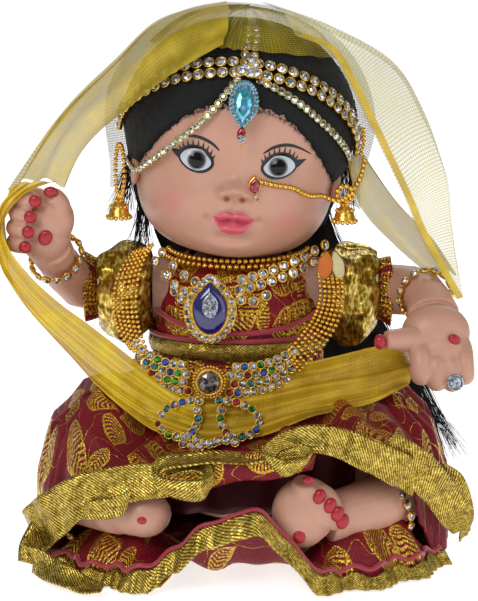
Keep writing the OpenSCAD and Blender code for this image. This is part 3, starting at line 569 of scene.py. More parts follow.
def make_brocade(name, red, red_dark, cell=34.0, stripes=0.0):
    """Satin-weave brocade with metallic gold leaves, vines and stripes. The UV is in millimetres."""
    material, tree, shader = new_material(name, Sheen_Weight=0.06, Sheen_Roughness=0.4)
    shader.inputs["Sheen Tint"].default_value = srgb("#E05060")
    shader.inputs["Specular IOR Level"].default_value = 0.25
    where = add(tree, "TexCoord").outputs["UV"]
    sway = add(tree, "TexNoise", {"Vector": where}, Scale=0.06, Detail=1.0)
    moved = add(tree, "VectorMath", {0: where, 1: add(
        tree, "VectorMath", {0: sway.outputs["Color"]}, operation="SCALE", Scale=9.0).outputs[0]},
        operation="ADD")
    uv = add(tree, "SeparateXYZ", {0: moved.outputs[0]})
    u = math_node(tree, "FLOORED_MODULO", uv.outputs[0], cell)
    v = math_node(tree, "FLOORED_MODULO", uv.outputs[1], cell)
    mask = None
    for motif in LEAVES:
        leaf = leaf_mask(tree, u, v, *motif)
        mask = leaf if mask is None else math_node(tree, "MAXIMUM", mask, leaf)
    vine = add(tree, "TexNoise", {"Vector": where}, Scale=0.11, Detail=0.0)
    vine_line = math_node(tree, "LESS_THAN", math_node(tree, "ABSOLUTE", math_node(
        tree, "SUBTRACT", vine.outputs["Fac"], 0.5)), 0.006)
    mask = math_node(tree, "MAXIMUM", mask, vine_line)
    if stripes:
        bars = math_node(tree, "SINE", math_node(tree, "MULTIPLY", uv.outputs[1], 6.283 / stripes))
        patch = math_node(tree, "GREATER_THAN", add(
            tree, "TexNoise", {"Vector": where}, Scale=0.07, Detail=0.0).outputs["Fac"], 0.47)
        mask = math_node(tree, "MAXIMUM", mask, math_node(
            tree, "MULTIPLY", math_node(tree, "GREATER_THAN", bars, 0.2), patch))
    thread = add(tree, "TexNoise", {"Vector": where}, Scale=1.6, Detail=1.0).outputs["Fac"]
    gold = ramp(tree, thread, [(0.35, "#8A6410"), (0.5, "#CF9F24"), (0.68, "#FFE470")])
    cloth = ramp(tree, thread, [(0.3, red_dark), (0.7, red)])
    tree.links.new(mix_colour(tree, mask, cloth, gold), shader.inputs["Base Color"])
    tree.links.new(math_node(tree, "MULTIPLY", mask, 0.9), shader.inputs["Metallic"])
    tree.links.new(math_node(tree, "SUBTRACT", 0.5, math_node(tree, "MULTIPLY", mask, 0.2)),
        shader.inputs["Roughness"])
    twill = add(tree, "TexWave", {"Vector": where}, Scale=0.55, Distortion=0.4,
        bands_direction="DIAGONAL").outputs["Fac"]
    raised = math_node(tree, "ADD", math_node(tree, "MULTIPLY", thread, math_node(
        tree, "ADD", math_node(tree, "MULTIPLY", mask, 1.6), 0.3)),
        math_node(tree, "MULTIPLY", twill, 0.35))
    bump(tree, shader, raised, 0.00035, 0.7)
    return material


def make_gold_cloth(name, low, mid, high, rib=0.0, grain=1.3, rough=0.34):
    """Metallic gold weave that glints grain by grain, with slanting ribs when rib (mm) is given, its colour
    painted light on raised grains and dark in hollows as painted highlights and shade. UV in millimetres.
    """
    material, tree, shader = new_material(name, Roughness=rough, Metallic=0.85)
    where = add(tree, "TexCoord").outputs["UV"]
    grains = add(tree, "TexVoronoi", {"Vector": where}, Scale=grain)
    fine = add(tree, "TexNoise", {"Vector": where}, Scale=0.35, Detail=4.0, Roughness=0.65).outputs["Fac"]
    lift = math_node(tree, "ADD", math_node(tree, "MULTIPLY", grains.outputs["Distance"], 0.5), fine)
    if rib:
        wave = add(tree, "TexWave", {"Vector": where}, Scale=0.31 / rib, Distortion=1.2, Detail=1.0,
            bands_direction="DIAGONAL").outputs["Fac"]
        lift = math_node(tree, "ADD", lift, math_node(tree, "MULTIPLY", wave, 0.45))
        lift = math_node(tree, "MULTIPLY", lift, 0.74)
    # Painted highlights and painted shade: the colour follows the bump's height, light on the raised grains and
    # ribs, dark in the hollows.
    tree.links.new(ramp(tree, lift, [(0.42, low), (0.7, mid), (0.98, high)]), shader.inputs["Base Color"])
    bump(tree, shader, lift, 0.0003, 0.8)
    return material


def make_gilt(name, colour, dark, rough=0.22):
    """Gilded brass: warm and bright, with random patches a little darker and glossier."""
    material, tree, shader = new_material(name, Metallic=1.0)
    tone = object_noise(tree, 1.1)
    tree.links.new(ramp(tree, tone, [(0.3, dark), (0.65, colour)]), shader.inputs["Base Color"])
    tree.links.new(math_node(tree, "ADD", math_node(tree, "MULTIPLY", tone, 0.2), rough - 0.1),
        shader.inputs["Roughness"])
    return material


def make_stone(name, light, dark, metallic=0.75, shift=None):
    """Foil-backed cut glass: hard bright and dark facets, their reflections painted into the colour."""
    material, tree, shader = new_material(name, Roughness=0.06, Metallic=metallic, Coat_Weight=1.0,
        Coat_Roughness=0.02)
    stops = [(0.38, dark), (0.6, light)] if not shift else [(0.25, dark), (0.42, shift[0]), (0.55, light),
        (0.72, shift[1])]
    # Painted reflections: the colour swings between light and dark tones in random patches, standing in for the
    # facets' bright and dark reflections.
    tree.links.new(ramp(tree, object_noise(tree, 1.3, 1.0), stops), shader.inputs["Base Color"])
    return material


# ------------------------------------------------------------------ shaping helpers


def rows_at(rows, a, b):
    """Smooth surface through a table of points: a runs over the rows, b along a row."""
    return spline_at([spline_at(row, b) for row in rows], a)


def spline_at(points, share):
    f = min(max(share, 0), 1) * (len(points) - 1)
    k = min(int(f), len(points) - 2)
    t = f - k
    p = [Vector(points[min(max(k + j, 0), len(points) - 1)]) for j in (-1, 0, 1, 2)]
    return 0.5 * (2 * p[1] + (p[2] - p[0]) * t + (2 * p[0] - 5 * p[1] + 4 * p[2] - p[3]) * t * t
        + (3 * p[1] - p[0] - 3 * p[2] + p[3]) * t**3)


def cloth(name, shape, flat, cells, material, body, slot, held, nodes=(), rests_on=(), thick=0.0,
    placed=BODY, area=None,
    bends=None):
    """Sheet of cloth: shape(u, v) gives the place in millimetres, flat its cut size, cells the grid.

    bends=(body, other, start, end), when given, leaves the sheet on no body at all.
    """
    bm = bmesh.new()
    bmesh.ops.create_grid(bm, x_segments=cells[0], y_segments=cells[1], size=0.5)
    uv = bm.loops.layers.uv.new("weave")
    for face in bm.faces:
        for loop in face.loops:
            loop[uv].uv = ((loop.vert.co.x + 0.5) * flat[0], (loop.vert.co.y + 0.5) * flat[1])
    for v in bm.verts:
        v.co = shape(v.co.x + 0.5, v.co.y + 0.5)
    piece = finish(bm, name, material, None if bends else body, slot, nodes, placed=placed)
    if bends:
        Vector(bends[2]) * MM
        Vector(bends[3]) * MM
        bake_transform(piece)
    if thick:
        wall = piece.modifiers.new("cloth_thickness", "SOLIDIFY")
        wall.thickness = thick * MM
        wall.offset = 0
    if body and min(flat) >= 10:
        list(rests_on)
    return piece


def limb(bm, path, sides=20, facing=(0, 0, 1)):
    """Closed tube through (place, width radius, depth radius) rows."""
    rings = []
    for i, (place, wide, deep) in enumerate(path):
        ahead = (Vector(path[min(i + 1, len(path) - 1)][0]) - Vector(path[max(i - 1, 0)][0])).normalized()
        a = ahead.cross(Vector(facing)).normalized()
        b = ahead.cross(a)
        rings.append([bm.verts.new(Vector(place) + wide * math.cos(t) * a + deep * math.sin(t) * b)
            for t in (j * math.tau / sides for j in range(sides))])
    for a, b in zip(rings, rings[1:]):
        for j in range(sides):
            bm.faces.new((a[j], a[(j + 1) % sides], b[(j + 1) % sides], b[j]))
    bm.faces.new(list(reversed(rings[0])))
    bm.faces.new(rings[-1])


def ball(bm, place, radii, turn=None, level=3):
    made = bmesh.ops.create_icosphere(bm, subdivisions=level, radius=1)["verts"]
    size = Matrix.Diagonal((*radii, 1))
    bmesh.ops.transform(bm, verts=made, matrix=Matrix.Translation(place) @ (turn or Matrix()) @ size)
    return made


def round_tube(bm, points, radii):
    """Finger-like tube with round ends through points."""
    path, count = [], 14
    for i in range(count + 1):
        s = i / count
        p = spline_at([Vector(q) for q in points], s)
        r = spline_at([Vector((q, 0, 0)) for q in radii], s).x
        end = min(s, 1 - s) * count
        cap = math.sqrt(max(1 - (1 - min(end / 1.6, 1)) ** 2, 0.04))
        path.append((p, r * cap, r * cap))
    limb(bm, path, 14, facing=(0.2, 0.3, 1))


def moulded(name, bm, body, nodes, voxel=0.55, smooth=6):
    """One hollow-looking vinyl moulding grown from overlapping forms."""
    bmesh.ops.recalc_face_normals(bm, faces=bm.faces)
    piece = finish(bm, name, vinyl, body, "vinyl", nodes)
    merge = piece.modifiers.new("merge", "REMESH")
    merge.mode = "VOXEL"
    merge.voxel_size = voxel * MM
    merge.use_smooth_shade = True
    soften = piece.modifiers.new("soften", "SMOOTH")
    soften.iterations = smooth
    soften.factor = 0.6
    return piece


# ------------------------------------------------------------------ stones, cups and beads


def frame_at(place, facing):
    """Place with its Z turned to face a way and its Y up."""
    z = Vector(facing).normalized()
    x = Vector((0, 0, 1)).cross(z)
    x = x.normalized() if x.length > 1e-4 else Vector((1, 0, 0))
    y = z.cross(x)
    return Matrix.Translation(place) @ Matrix((x, y, z)).transposed().to_4x4()


def cut_stone(bm, place, facing, radius, stretch=1.0, sides=8, deep=0.6):
    """Cut stone: girdle, crown facets and table."""
    where = frame_at(place, facing)
    rings = []
    for r, h, twist in ((1, 0, 0), (0.8, 0.34, 0.5), (0.46, deep, 0)):
        rings.append([bm.verts.new(where @ Vector((radius * r * math.cos(a),
            radius * stretch * r * math.sin(a), radius * h)))
            for a in ((j + twist) * math.tau / sides for j in range(sides))])
    for lower, upper in zip(rings, rings[1:]):
        for j in range(sides):
            bm.faces.new((lower[j], lower[(j + 1) % sides], upper[(j + 1) % sides], upper[j]))
    bm.faces.new(rings[-1])


def cup(bm, place, facing, radius, sides=10):
    """Gold cup with a raised rim round a stone."""
    where = frame_at(place, facing)
    rings = []
    for r, h in ((0.6, -0.8), (1.05, -0.55), (1.22, 0.05), (1.12, 0.22), (0.96, 0.12)):
        rings.append([bm.verts.new(where @ Vector((radius * r * math.cos(a), radius * r * math.sin(a),
            radius * h)))
            for a in (j * math.tau / sides for j in range(sides))])
    for lower, upper in zip(rings, rings[1:]):
        for j in range(sides):
            bm.faces.new((lower[j], lower[(j + 1) % sides], upper[(j + 1) % sides], upper[j]))
    bm.faces.new(list(reversed(rings[0])))


def set_stones(name, places, body, nodes=(), stone=None, metal=None, placed=BODY):
    """Row of stones in cups: places are (centre, facing, radius)."""
    gems, cups = bmesh.new(), bmesh.new()
    for place, facing, radius in places:
        cut_stone(gems, place, facing, radius * 0.95)
        cup(cups, place, facing, radius)
    finish(cups, name + "_cups", metal or gilt, body, "gilt", nodes, placed=placed)
    finish(gems, name + "_stones", stone or crystal, body, "crystal", smooth=False, placed=placed)


def bead_row(name, places, radius, body, nodes=(), placed=BODY):
    bm = bmesh.new()
    for place in places:
        bmesh.ops.create_icosphere(bm, subdivisions=2, radius=radius, matrix=Matrix.Translation(place))
    return finish(bm, name, gilt, body, "gilt", nodes, placed=placed)


def along_path(points, pitch):
    """Places and directions every pitch millimetres along a smooth path."""
    fine = [spline_at([Vector(p) for p in points], i / 400) for i in range(401)]
    out, run, want = [], 0.0, 0.0
    for a, b in zip(fine, fine[1:]):
        step = (b - a).length
        while step and run + step >= want:
            out.append((a + (b - a) * ((want - run) / step), (b - a).normalized()))
            want += pitch
        run += step
    return out


# ------------------------------------------------------------------ skirt

SKIRT_WIDE, SKIRT_FRONT, SKIRT_BACK, SKIRT_POWER = 80, -86, 50, 2.6
CREST = [(-180, 38), (-135, 42), (-90, 54), (-50, 57), (-30, 46), (0, 39), (25, 46), (50, 56), (90, 53),
    (135, 42), (180, 38)]
LIP = [(-180, 1.6), (-64, 1.6), (-50, 20), (-33, 35), (-13, 43), (-5, 47), (10, 51), (20, 51.5), (29, 48),
    (38, 43),
    (47, 38), (55, 17), (64, 1.6), (180, 1.6)]
WAIST_Z, WAIST_R = 58, 34


def spow(value, power):
    return math.copysign(abs(value) ** power, value)


def outline(turn, inset=0.0):
    """Edge of the spread skirt at a turn in degrees from the front towards the doll's left."""
    t = math.radians(turn)
    middle, half = (SKIRT_BACK + SKIRT_FRONT) / 2, (SKIRT_BACK - SKIRT_FRONT) / 2
    return Vector((
        (SKIRT_WIDE * (0.93 if t < 0 else 0.98) - inset) * spow(math.sin(t), 2 / SKIRT_POWER),
        middle - (half - inset) * spow(math.cos(t), 2 / SKIRT_POWER), 0))


def skirt_fold(turn, share):
    """Soft radial folds that deepen towards the edge."""
    t = math.radians(turn)
    sway = noise.noise(Vector((math.cos(t) * 2.2, math.sin(t) * 2.2, share * 0.8)))
    folds = 0.6 * math.sin(19 * t + 4 * sway) + 0.4 * math.sin(34 * t + 7 * sway + 2 * share)
    deep = 2.2 + 1.6 * smooth_step(15, 45, turn) * (1 - smooth_step(95, 120, turn))
    return folds * smooth_step(0.1, 0.6, share) * deep + 3.6 * sway * smooth_step(0.15, 0.5, share)


def skirt_top(u, v):
    turn = -180 + 360 * u
    t = math.radians(turn)
    crest, lip = curve_at(CREST, turn), curve_at(LIP, turn)
    front = smooth_step(75, 45, abs(turn))
    edge = outline(turn, 2 + 1.5 * front)
    waist = Vector((WAIST_R * math.sin(t), -WAIST_R * math.cos(t), 0))
    peak = 0.6
    place = waist.lerp(edge, v)
    rows = [(0, WAIST_Z), (0.4 * peak, WAIST_Z + (crest - WAIST_Z) * 0.7), (peak, crest),
        (0.84, crest + (lip - crest) * 0.2), (0.95, crest + (lip - crest) * 0.52), (1, lip)]
    z = rows[-1][1]
    for (a, za), (b, zb) in zip(rows, rows[1:]):
        if v <= b:
            z = za + (zb - za) * (v - a) / (b - a)
            break
    bulge = 2.4 * smooth_step(0.7, 0.9, v) * (1 - smooth_step(0.95, 1, v)) * (1 - front)
    outward = (edge - waist).normalized()
    fold = skirt_fold(turn, v)
    calm = 1 - 0.6 * front * smooth_step(0.8, 1, v)
    z += 1.1 * fold * calm * smooth_step(1.0, 0.8, v * (1 - front) + 0.8 * front) * smooth_step(0.05, 0.3,
        v)
    place = place + outward * (bulge - 0.75 * abs(fold) * smooth_step(0.6, 1, v))
    return Vector((place.x, place.y, max(z, 1.4)))


def skirt_under(u, v):
    """Lower layer: the tray of cloth under the feet, its front hem out beyond the lip."""
    turn = -64 + 128 * u
    edge = outline(turn, 1.5 + 1.6 * math.sin(turn * 0.35))
    inner = edge * 0.5 + Vector((0, -6, 0))
    place = inner.lerp(edge, v)
    notch = 23 * math.exp(-(((turn - 2) / (15 if turn < 2 else 8.5)) ** 2))
    side = smooth_step(8, 30, abs(turn)) * (1 - smooth_step(50, 66, abs(turn)))
    fill = (13 + 6 * smooth_step(0, 40, turn)) * side
    sway = noise.noise(Vector((turn * 0.09, v * 3, 3.1)))
    fold = math.sin(turn * 0.55 + 6 * v + 3 * sway)
    z = 3.2 + fill * math.sin(math.pi * min(v * 0.93 + 0.07,
        1) ** 1.4) ** 0.8 + (2.2 * sway + 0.8 * fold) * math.sin(math.pi * v)
    z += notch * smooth_step(0.35, 1, v)
    z += (0.9 * math.sin(turn * 0.8) + 1.4) * smooth_step(0.8, 1, v)
    return Vector((place.x + 1.2 * sway * v, place.y, max(z, 1.8)))


def make_skirt(brocade, shaded_lining):
    def floor_layer(u, v):
        place = outline(-180 + 360 * u, 3).lerp(Vector((0, -18, 0)), v * 0.98)
        if place.y < -10:
            place.y = -10 + (place.y + 10) * (0.12 + 0.88 * smooth_step(14, 30, abs(place.x - 2)))
        return place + Vector((0, 0, 1.0 + 0.5 * math.sin(u * 90) * (1 - v)))
    cloth("skirt_floor_layer", floor_layer, (160, 136), (160, 16),
        brocade, "torso", "brocade", "laid", ["skirt_base_panel"], ["floor"], thick=0.8, area=0.0165)
    cloth("skirt_front_tray", skirt_under, (180, 42), (150, 26), brocade, "torso", "brocade", "laid",
        rests_on=["skirt_floor_layer"], thick=0.8)
    flap_top = [(-27, -84, 43), (-12, -84.5, 46.5), (2, -84, 49), (14, -83, 51), (27, -81, 53)]
    flap_low = [(-26, -80, 33), (-12, -82, 36.5), (2, -84, 40), (14, -84, 41), (25, -80, 43)]
    cloth("lip_flap", lambda u, v: spline_at([Vector(p) for p in flap_top], u).lerp(
        spline_at([Vector(p) for p in flap_low], u),
        v) + Vector((0, -1.3 * math.sin(v * math.pi) + 0.8 * math.sin(u * 17), 0)),
        (60, 11), (60, 12), brocade, "torso", "brocade", "hung", rests_on=["skirt_upper"], thick=0.8)
    # Painted shade: this cloth inside the skirt is coloured darker than the brocade for the shade in the hollow
    # behind the feet.
    cloth("inner_lining", lambda u,
        v: Vector((-42 + 84 * u, -36 - 3 * math.sin(math.pi * u) + 1.5 * math.sin(u * 40), 14 + 33 * v)),
        (88, 34), (90, 12), shaded_lining, "torso", "brocade", "hung", rests_on=["skirt_upper"], thick=0.5)
    cloth("skirt_upper", skirt_top, (400, 80), (300, 60), brocade, "torso", "brocade", "gathered",
        ["skirt_panel_front", "skirt_panel_left", "skirt_panel_back", "skirt_panel_right",
            "skirt_waistband"], ["torso_shell"], thick=0.9)


def ribbon(name, points, ups, flat, gold_lace, nodes=(), rests_on=("skirt_upper",), frill=0.8,
    cells=(150, 8)):
    """Gold lace ribbon: points run along its middle, ups give half its width across at each."""
    def shape(u, v):
        middle, across = spline_at([Vector(p) for p in points], u), spline_at([Vector(p) for p in ups], u)
        ahead = spline_at([Vector(p) for p in points],
            min(u + 0.01, 1)) - spline_at([Vector(p) for p in points], max(u - 0.01, 0))
        out = across.cross(ahead).normalized() if ahead.length else Vector((0, -1, 0))
        k = 2 * v - 1
        ripple = frill * math.sin(u * flat[0] / 2.6 + 1.3 * noise.noise(Vector((u * 9, 0,
            0)))) * (0.35 + 0.65 * abs(k))
        return middle + across * k + out * (ripple + 0.8 * (1 - k * k))
    return cloth(name, shape, flat, cells, gold_lace, "torso", "gold_lace", "gathered", nodes, rests_on,
        thick=0.7)


def make_ribbons(gold_lace):
    ribbon("lip_ribbon_right", [(-73, -52, 10), (-70, -62, 16), (-63, -71, 24), (-52, -77, 33),
        (-36, -81, 38), (-20, -84, 40.5),
        (-9, -86, 42)],
        [(-2, 0, 7), (-3.5, 1, 7.5), (-3, 1.5, 7.5), (-2, 1.5, 6.6), (-1, 1.5, 6), (0.5, 1.5, 5.4),
            (1.5, 1.5, 4)],
        (100, 14), gold_lace, ["skirt_ribbon_top"])
    ribbon("lip_loop_middle", [(-24, -84, 45), (-16, -86, 46.5), (-10, -88, 45), (-9, -90.5, 41),
        (-14, -92, 39), (-24, -91, 40),
        (-27, -88, 44), (-23, -86.5, 47.5), (-10, -86, 48.5), (4, -85, 48.5),
        (14, -84, 50)],
        [(0, 3, 2.5), (0, 3, 2), (1, 2, 2), (1, 0.5, 3.4), (0, 0.5, 3.6), (-1, 0.5, 3), (-1, 1.5, 2.4),
            (0, 3, 1.6), (0, 3, 1.3),
            (0, 3, 1.2), (0, 3, 1.6)],
        (95, 9), gold_lace, frill=0.4, cells=(190, 8))
    ribbon("lip_loop_left", [(8, -86, 50), (16, -86, 51), (22, -87, 50.5), (22, -88.5, 47.5), (15, -89, 46),
        (10, -88, 49),
        (13, -86.5, 53), (20, -84.5, 55.5), (29, -82, 55)],
        [(0, 2, 2.2), (0, 2, 2.4), (1.5, 0.5, 2), (1.5, 0, 2.4), (-0.5, 0.5, 3), (-1.5, 0.5, 2.4),
            (-1, 0, 2.4), (0, 1, 3),
            (0.5, 1, 3.6)],
        (72, 8.5), gold_lace, frill=0.4, cells=(160, 8))
    ribbon("lip_ribbon_left", [(20, -83, 54), (32, -82, 53), (44, -80, 47.5), (55, -75, 41), (62, -71, 36)],
        [(1, 1, 3.6), (1.5, 1, 4.6), (2.2, 0.5, 5), (3, 0.5, 5.2), (3, 0, 5)],
        (62, 10.5), gold_lace, frill=0.9)
    ribbon("lip_fold_left", [(50, -76, 50), (58, -74, 44.5), (65, -71, 36.5), (71, -66, 28), (76, -61, 19),
        (78, -59, 14)],
        [(3, 0.5, 4), (4.2, 0, 4), (5.2, 0, 3.6), (5, 0.5, 3.2), (4.4, 0.5, 2.6), (3, 0, 0.6)],
        (62, 12), gold_lace, frill=0.7)
    ribbon("lip_turnback_left",
        [(68, -66, 38), (74, -63, 33), (78, -60, 25), (80, -57, 17), (79.5, -55, 10)],
        [(3, 0, 2.4), (3.4, 0.5, 2.4), (3.2, 1, 1.8), (2.4, 1.5, 1.2), (1.5, 1.5, 0.8)],
        (40, 8), gold_lace, frill=0.3)
    ribbon("lip_patch_right", [(-52, -80, 28), (-44, -82, 29.5), (-37, -84, 32)],
        [(0.5, 0, 3), (0.8, 0, 3.8), (1.2, 0, 4.2)], (20, 8), gold_lace, rests_on=("lip_ribbon_right",),
        frill=0.2,
        cells=(30, 6))
    tail = [(-70, -62, 10), (-72, -67, 8), (-68, -73, 7), (-61, -79, 5.5), (-53, -84, 4), (-46, -88, 3)]
    ribbon("ribbon_tail_long", tail,
        [(-1, 0, 6), (-2, 0, 5), (1.5, 1, 4), (2, 2, 3), (1.6, 2.8, 1.8), (1, 2.4, 0.6)],
        (44, 9), gold_lace, ["ribbon_tail"], ("floor",), 0.7, (90, 8))
    ribbon("ribbon_tail_short", [(-69, -60, 16), (-72, -64, 10), (-73, -67, 5)],
        [(-3, 0, 2), (-3.5, 0, 1.5), (-3, 0.5, 0.6)],
        (18, 8), gold_lace, rests_on=("floor",), frill=0.4, cells=(40, 6))

    def hem(u, v):
        turn = -64 + 128 * u
        top = skirt_under(u, 1.0)
        out = (outline(turn, -4) - outline(turn, 0)).normalized()
        wave = 0.6 * math.sin(turn * 1.7) + 0.8 * noise.noise(Vector((turn * 0.2, 0, 0)))
        low = Vector((top.x, top.y, max(top.z - 7, 0.6))) + out * 3.6
        return low.lerp(top + out * 0.8 + Vector((0, 0, 0.6)), v) + out * wave * (1 - v)
    cloth("hem_ribbon", hem, (215, 9), (260, 8), gold_lace, "torso", "gold_lace", "gathered",
        ["skirt_ribbon_floor"],
        ["skirt_front_tray", "floor"], thick=0.7)


def make_piping(piping):
    bm = bmesh.new()
    path = [(skirt_under(i / 160, 0.985) + Vector((0, -0.4, 1.2)), 0.85, 0.85) for i in range(161)]
    limb(bm, path, 8)
    return finish(bm, "hem_piping", piping, "torso", "brocade")


# ------------------------------------------------------------------ legs and feet


def make_legs(nail):
    bm = bmesh.new()
    limb(bm, [((-27.3, -3, 25), 11, 11), ((-39, -6, 25), 11.5, 11.5), ((-46, -19, 25), 12.5, 12.5),
        ((-57, -36, 24.5), 12, 12),
        ((-55.3, -51, 23), 9.5, 9), ((-48, -61, 23), 7.8, 7.5), ((-42, -66, 23.6), 8, 8)], 24)
    ball(bm, (-40, -68.5, 24), (11, 7.4, 7.8))
    ball(bm, (-34, -72, 24.8), (11.5, 7.6, 8.0))
    ball(bm, (-31.5, -73.5, 25), (8.8, 7.8, 8.2))
    moulded("leg_right_skin", bm, "leg_right", ["leg_right"])
    bm = bmesh.new()
    limb(bm, [((27.3, -3, 25), 11, 11), ((39, -6, 25), 11.5, 11.5), ((46, -19, 25), 12.5, 12.5),
        ((57, -36, 25), 12.5, 12.5),
        ((55.3, -50, 25), 11, 11), ((47.3, -59, 24), 10, 9.5), ((39, -65, 23), 9, 9),
        ((30, -69, 22), 8.5, 8.5)], 24)
    ball(bm, (21.5, -74.5, 21.5), (9.2, 7.2, 8.2))
    ball(bm, (22.6, -75.2, 26.5), (11.2, 7, 12.2), Matrix.Rotation(math.radians(14), 4, "Y"))
    ball(bm, (26.5, -76.5, 28.5), (9.5, 6.2, 8.5), Matrix.Rotation(math.radians(38), 4, "Y"))
    toes = [((22.4, -79.5, 38.5), 4.3), ((27.2, -79.6, 34), 3.1), ((30.8, -79.8, 31), 3.0),
        ((33.4, -79.6, 28), 2.9),
        ((35.2, -79.2, 25.2), 2.7)]
    round_tube(bm, [(22.8, -76, 30), (22.2, -77.5, 35), (22.6, -79, 38.5)], [5.2, 4.6, 3.9])
    for (x, y, z), r in toes[1:]:
        round_tube(bm, [(x - 3.4, y + 3, z - 3.2), (x - 1, y + 0.8, z - 0.8), (x + 0.9, y, z + 1.2)],
            [r, r, r])
    moulded("leg_left_skin", bm, "leg_left", ["leg_left"])
    spots = bmesh.new()
    for (x, y, z), r in toes[1:]:
        ball(spots, (x + 0.2, y - 2.2, z - 0.4), (2.2, 1.3, 2.9), Matrix.Rotation(math.radians(20), 4, "Y"),
            2)
    ball(spots, (23.6, -82.4, 39.6), (2.2, 1.0, 1.5), None, 2)
    ball(spots, (20.8, -81.4, 19.3), (2.2, 0.7, 2.4), None, 2)
    finish(spots, "foot_paint_left", nail, "leg_left", "vinyl")
    spots = bmesh.new()
    ball(spots, (-32.4, -81.1, 25), (1.7, 0.6, 1.3), None, 2)
    finish(spots, "foot_paint_right", nail, "leg_right", "vinyl")


def ring_places(middle, axis, radius, count, size):
    """Stones spaced round a limb, facing outwards."""
    where = frame_at(middle, axis)
    out = []
    for i in range(count):
        a = i * math.tau / count
        spot = Vector((math.cos(a) * radius, math.sin(a) * radius, 0))
        out.append((where @ spot, where.to_3x3() @ spot, size))
    return out


def make_bangles():
    for name, middle, axis, radius, count in (
        ("bracelet_right", (-65, -19.5, 103.5), (-0.272, -0.68, 0.68), 9.8, 15),
        ("bracelet_left", (67, -23.5, 90.75), (0.214, -0.9635, -0.16), 9.8, 15),
        ("anklet_right", (-51.8, -56, 21), (0.566, -0.808, -0.162), 11.9, 17),
        ("anklet_left", (51.3, -54.5, 20.5), (-0.645, -0.725, -0.242), 11.9, 17),
    ):
        set_stones(name, ring_places(middle, axis, radius, count, 1.55), name, [name])
        bm = bmesh.new()
        where = frame_at(middle, axis)
        links = [(where @ Vector((math.cos(a) * (radius - 0.5), math.sin(a) * (radius - 0.5), 0))) for a in
            (i * math.tau / (count * 3) for i in range(count * 3))]
        for i, place in enumerate(links):
            if i % 3:
                bmesh.ops.create_icosphere(bm, subdivisions=1, radius=0.62,
                    matrix=Matrix.Translation(place))
        finish(bm, name + "_links", gilt, name, "gilt")


# ------------------------------------------------------------------ arms and hands


def make_arms(nail):
    bm = bmesh.new()
    limb(bm, [((-33, -3, 89), 8.6, 8.6), ((-52, -3, 89), 8.6, 8.6), ((-58, -6, 91), 8.4, 8.4),
        ((-62.5, -12.5, 97), 7.8, 7.8),
        ((-65, -19, 103), 7.3, 7.3), ((-67, -24, 108), 8.2, 7.4)], 24)
    ball(bm, (-68.5, -27, 114.5), (9.6, 6.4, 11.5))
    ball(bm, (-66, -28, 119), (8.4, 6, 9.5))
    for x, z, r in ((-71.6, 127, 3.1), (-73.6, 121.6, 3.2), (-74.6, 116, 3.1), (-75, 110.6, 2.9)):
        round_tube(bm, [(x + 3.5, -25, z - 0.5), (x - 3.2, -27.5, z + 0.6), (x - 3.4, -33, z + 0.4),
            (x + 1.6, -35, z - 0.2)],
            [r, r, r, r * 0.95])
    round_tube(bm, [(-63.5, -28, 116), (-62.5, -30, 124), (-65.2, -33, 129)], [4.3, 3.8, 3.2])
    moulded("arm_right_skin", bm, "arm_right", ["arm_right"], voxel=0.5, smooth=4)
    spots = bmesh.new()
    for x, z in ((-70.6, 127), (-72.4, 121.4), (-73.2, 116), (-74.4, 110.7)):
        ball(spots, (x, -37.3, z), (2.3, 1.0, 2.3), None, 2)
    ball(spots, (-65.3, -35.2, 130), (2.6, 1.2, 1.9), None, 2)
    ball(spots, (-67.6, -33.9, 113.4), (2.5, 0.6, 2.9), Matrix.Rotation(0.4, 4, "Y"), 2)
    finish(spots, "hand_paint_right", nail, "arm_right", "vinyl")
    bm = bmesh.new()
    limb(bm, [((33, -3, 89), 8.6, 8.6), ((50, -3, 89), 8.8, 8.8), ((57, -5, 89), 9.2, 9.2),
        ((63, -12, 90), 9.2, 9),
        ((66, -19, 91), 8.4, 8.2), ((68, -28, 90), 8, 7.4), ((69, -35, 86), 9.5, 8)], 24)
    ball(bm, (69.5, -40, 80.5), (12.2, 8.4, 10.5))
    ball(bm, (72, -42.5, 74.5), (10.5, 7.6, 9))
    for x, z, r in ((63.6, 70, 3.9), (69.2, 67.6, 3.7), (74.6, 67.2, 3.5), (79, 69.4, 3.2)):
        round_tube(bm, [(x, -44, z + 7), (x, -48.6, z + 3.5), (x + 0.3, -49, z - 2), (x + 0.2, -43, z - 3)],
            [r, r, r, r * 0.9])
    round_tube(bm, [(63, -44, 79.5), (56.5, -47.5, 80), (50.8, -49.5, 80.2)], [4.6, 4.0, 3.3])
    moulded("arm_left_skin", bm, "arm_left", ["arm_left"], voxel=0.5, smooth=4)
    spots = bmesh.new()
    ball(spots, (49.2, -51.2, 80), (2.2, 2.1, 2.8), None, 2)
    ball(spots, (75.2, -48.6, 80.2), (2.3, 0.7, 1.8), Matrix.Rotation(0.5, 4, "Y"), 2)
    finish(spots, "hand_paint_left", nail, "arm_left", "vinyl")
    ring, stone = bmesh.new(), bmesh.new()
    place = (75.4, -53.2, 66)
    cup(ring, place, (0.1, -1, 0.1), 2.5, 14)
    cut_stone(stone, place, (0.1, -1, 0.1), 2.4, 1.15, 10, 0.5)
    finish(ring, "finger_ring_cup", silver, "arm_left", "silver_setting", ["finger_ring"])
    finish(stone, "finger_ring_stone", silver_stone, "arm_left", "crystal", smooth=False)


# ------------------------------------------------------------------ bodice and sleeves


def chest_r(z):
    """Radius of the dressed torso."""
    return curve_at([(5, 18), (25, 31), (42, 33), (58, 30.5), (70, 30), (84, 30), (93, 27.5), (97, 24),
        (103, 17)], z)


def chest_place(turn, z, out=0.0):
    t = math.radians(turn)
    r = chest_r(z) + out
    return Vector((r * math.sin(t), -r * math.cos(t), z))


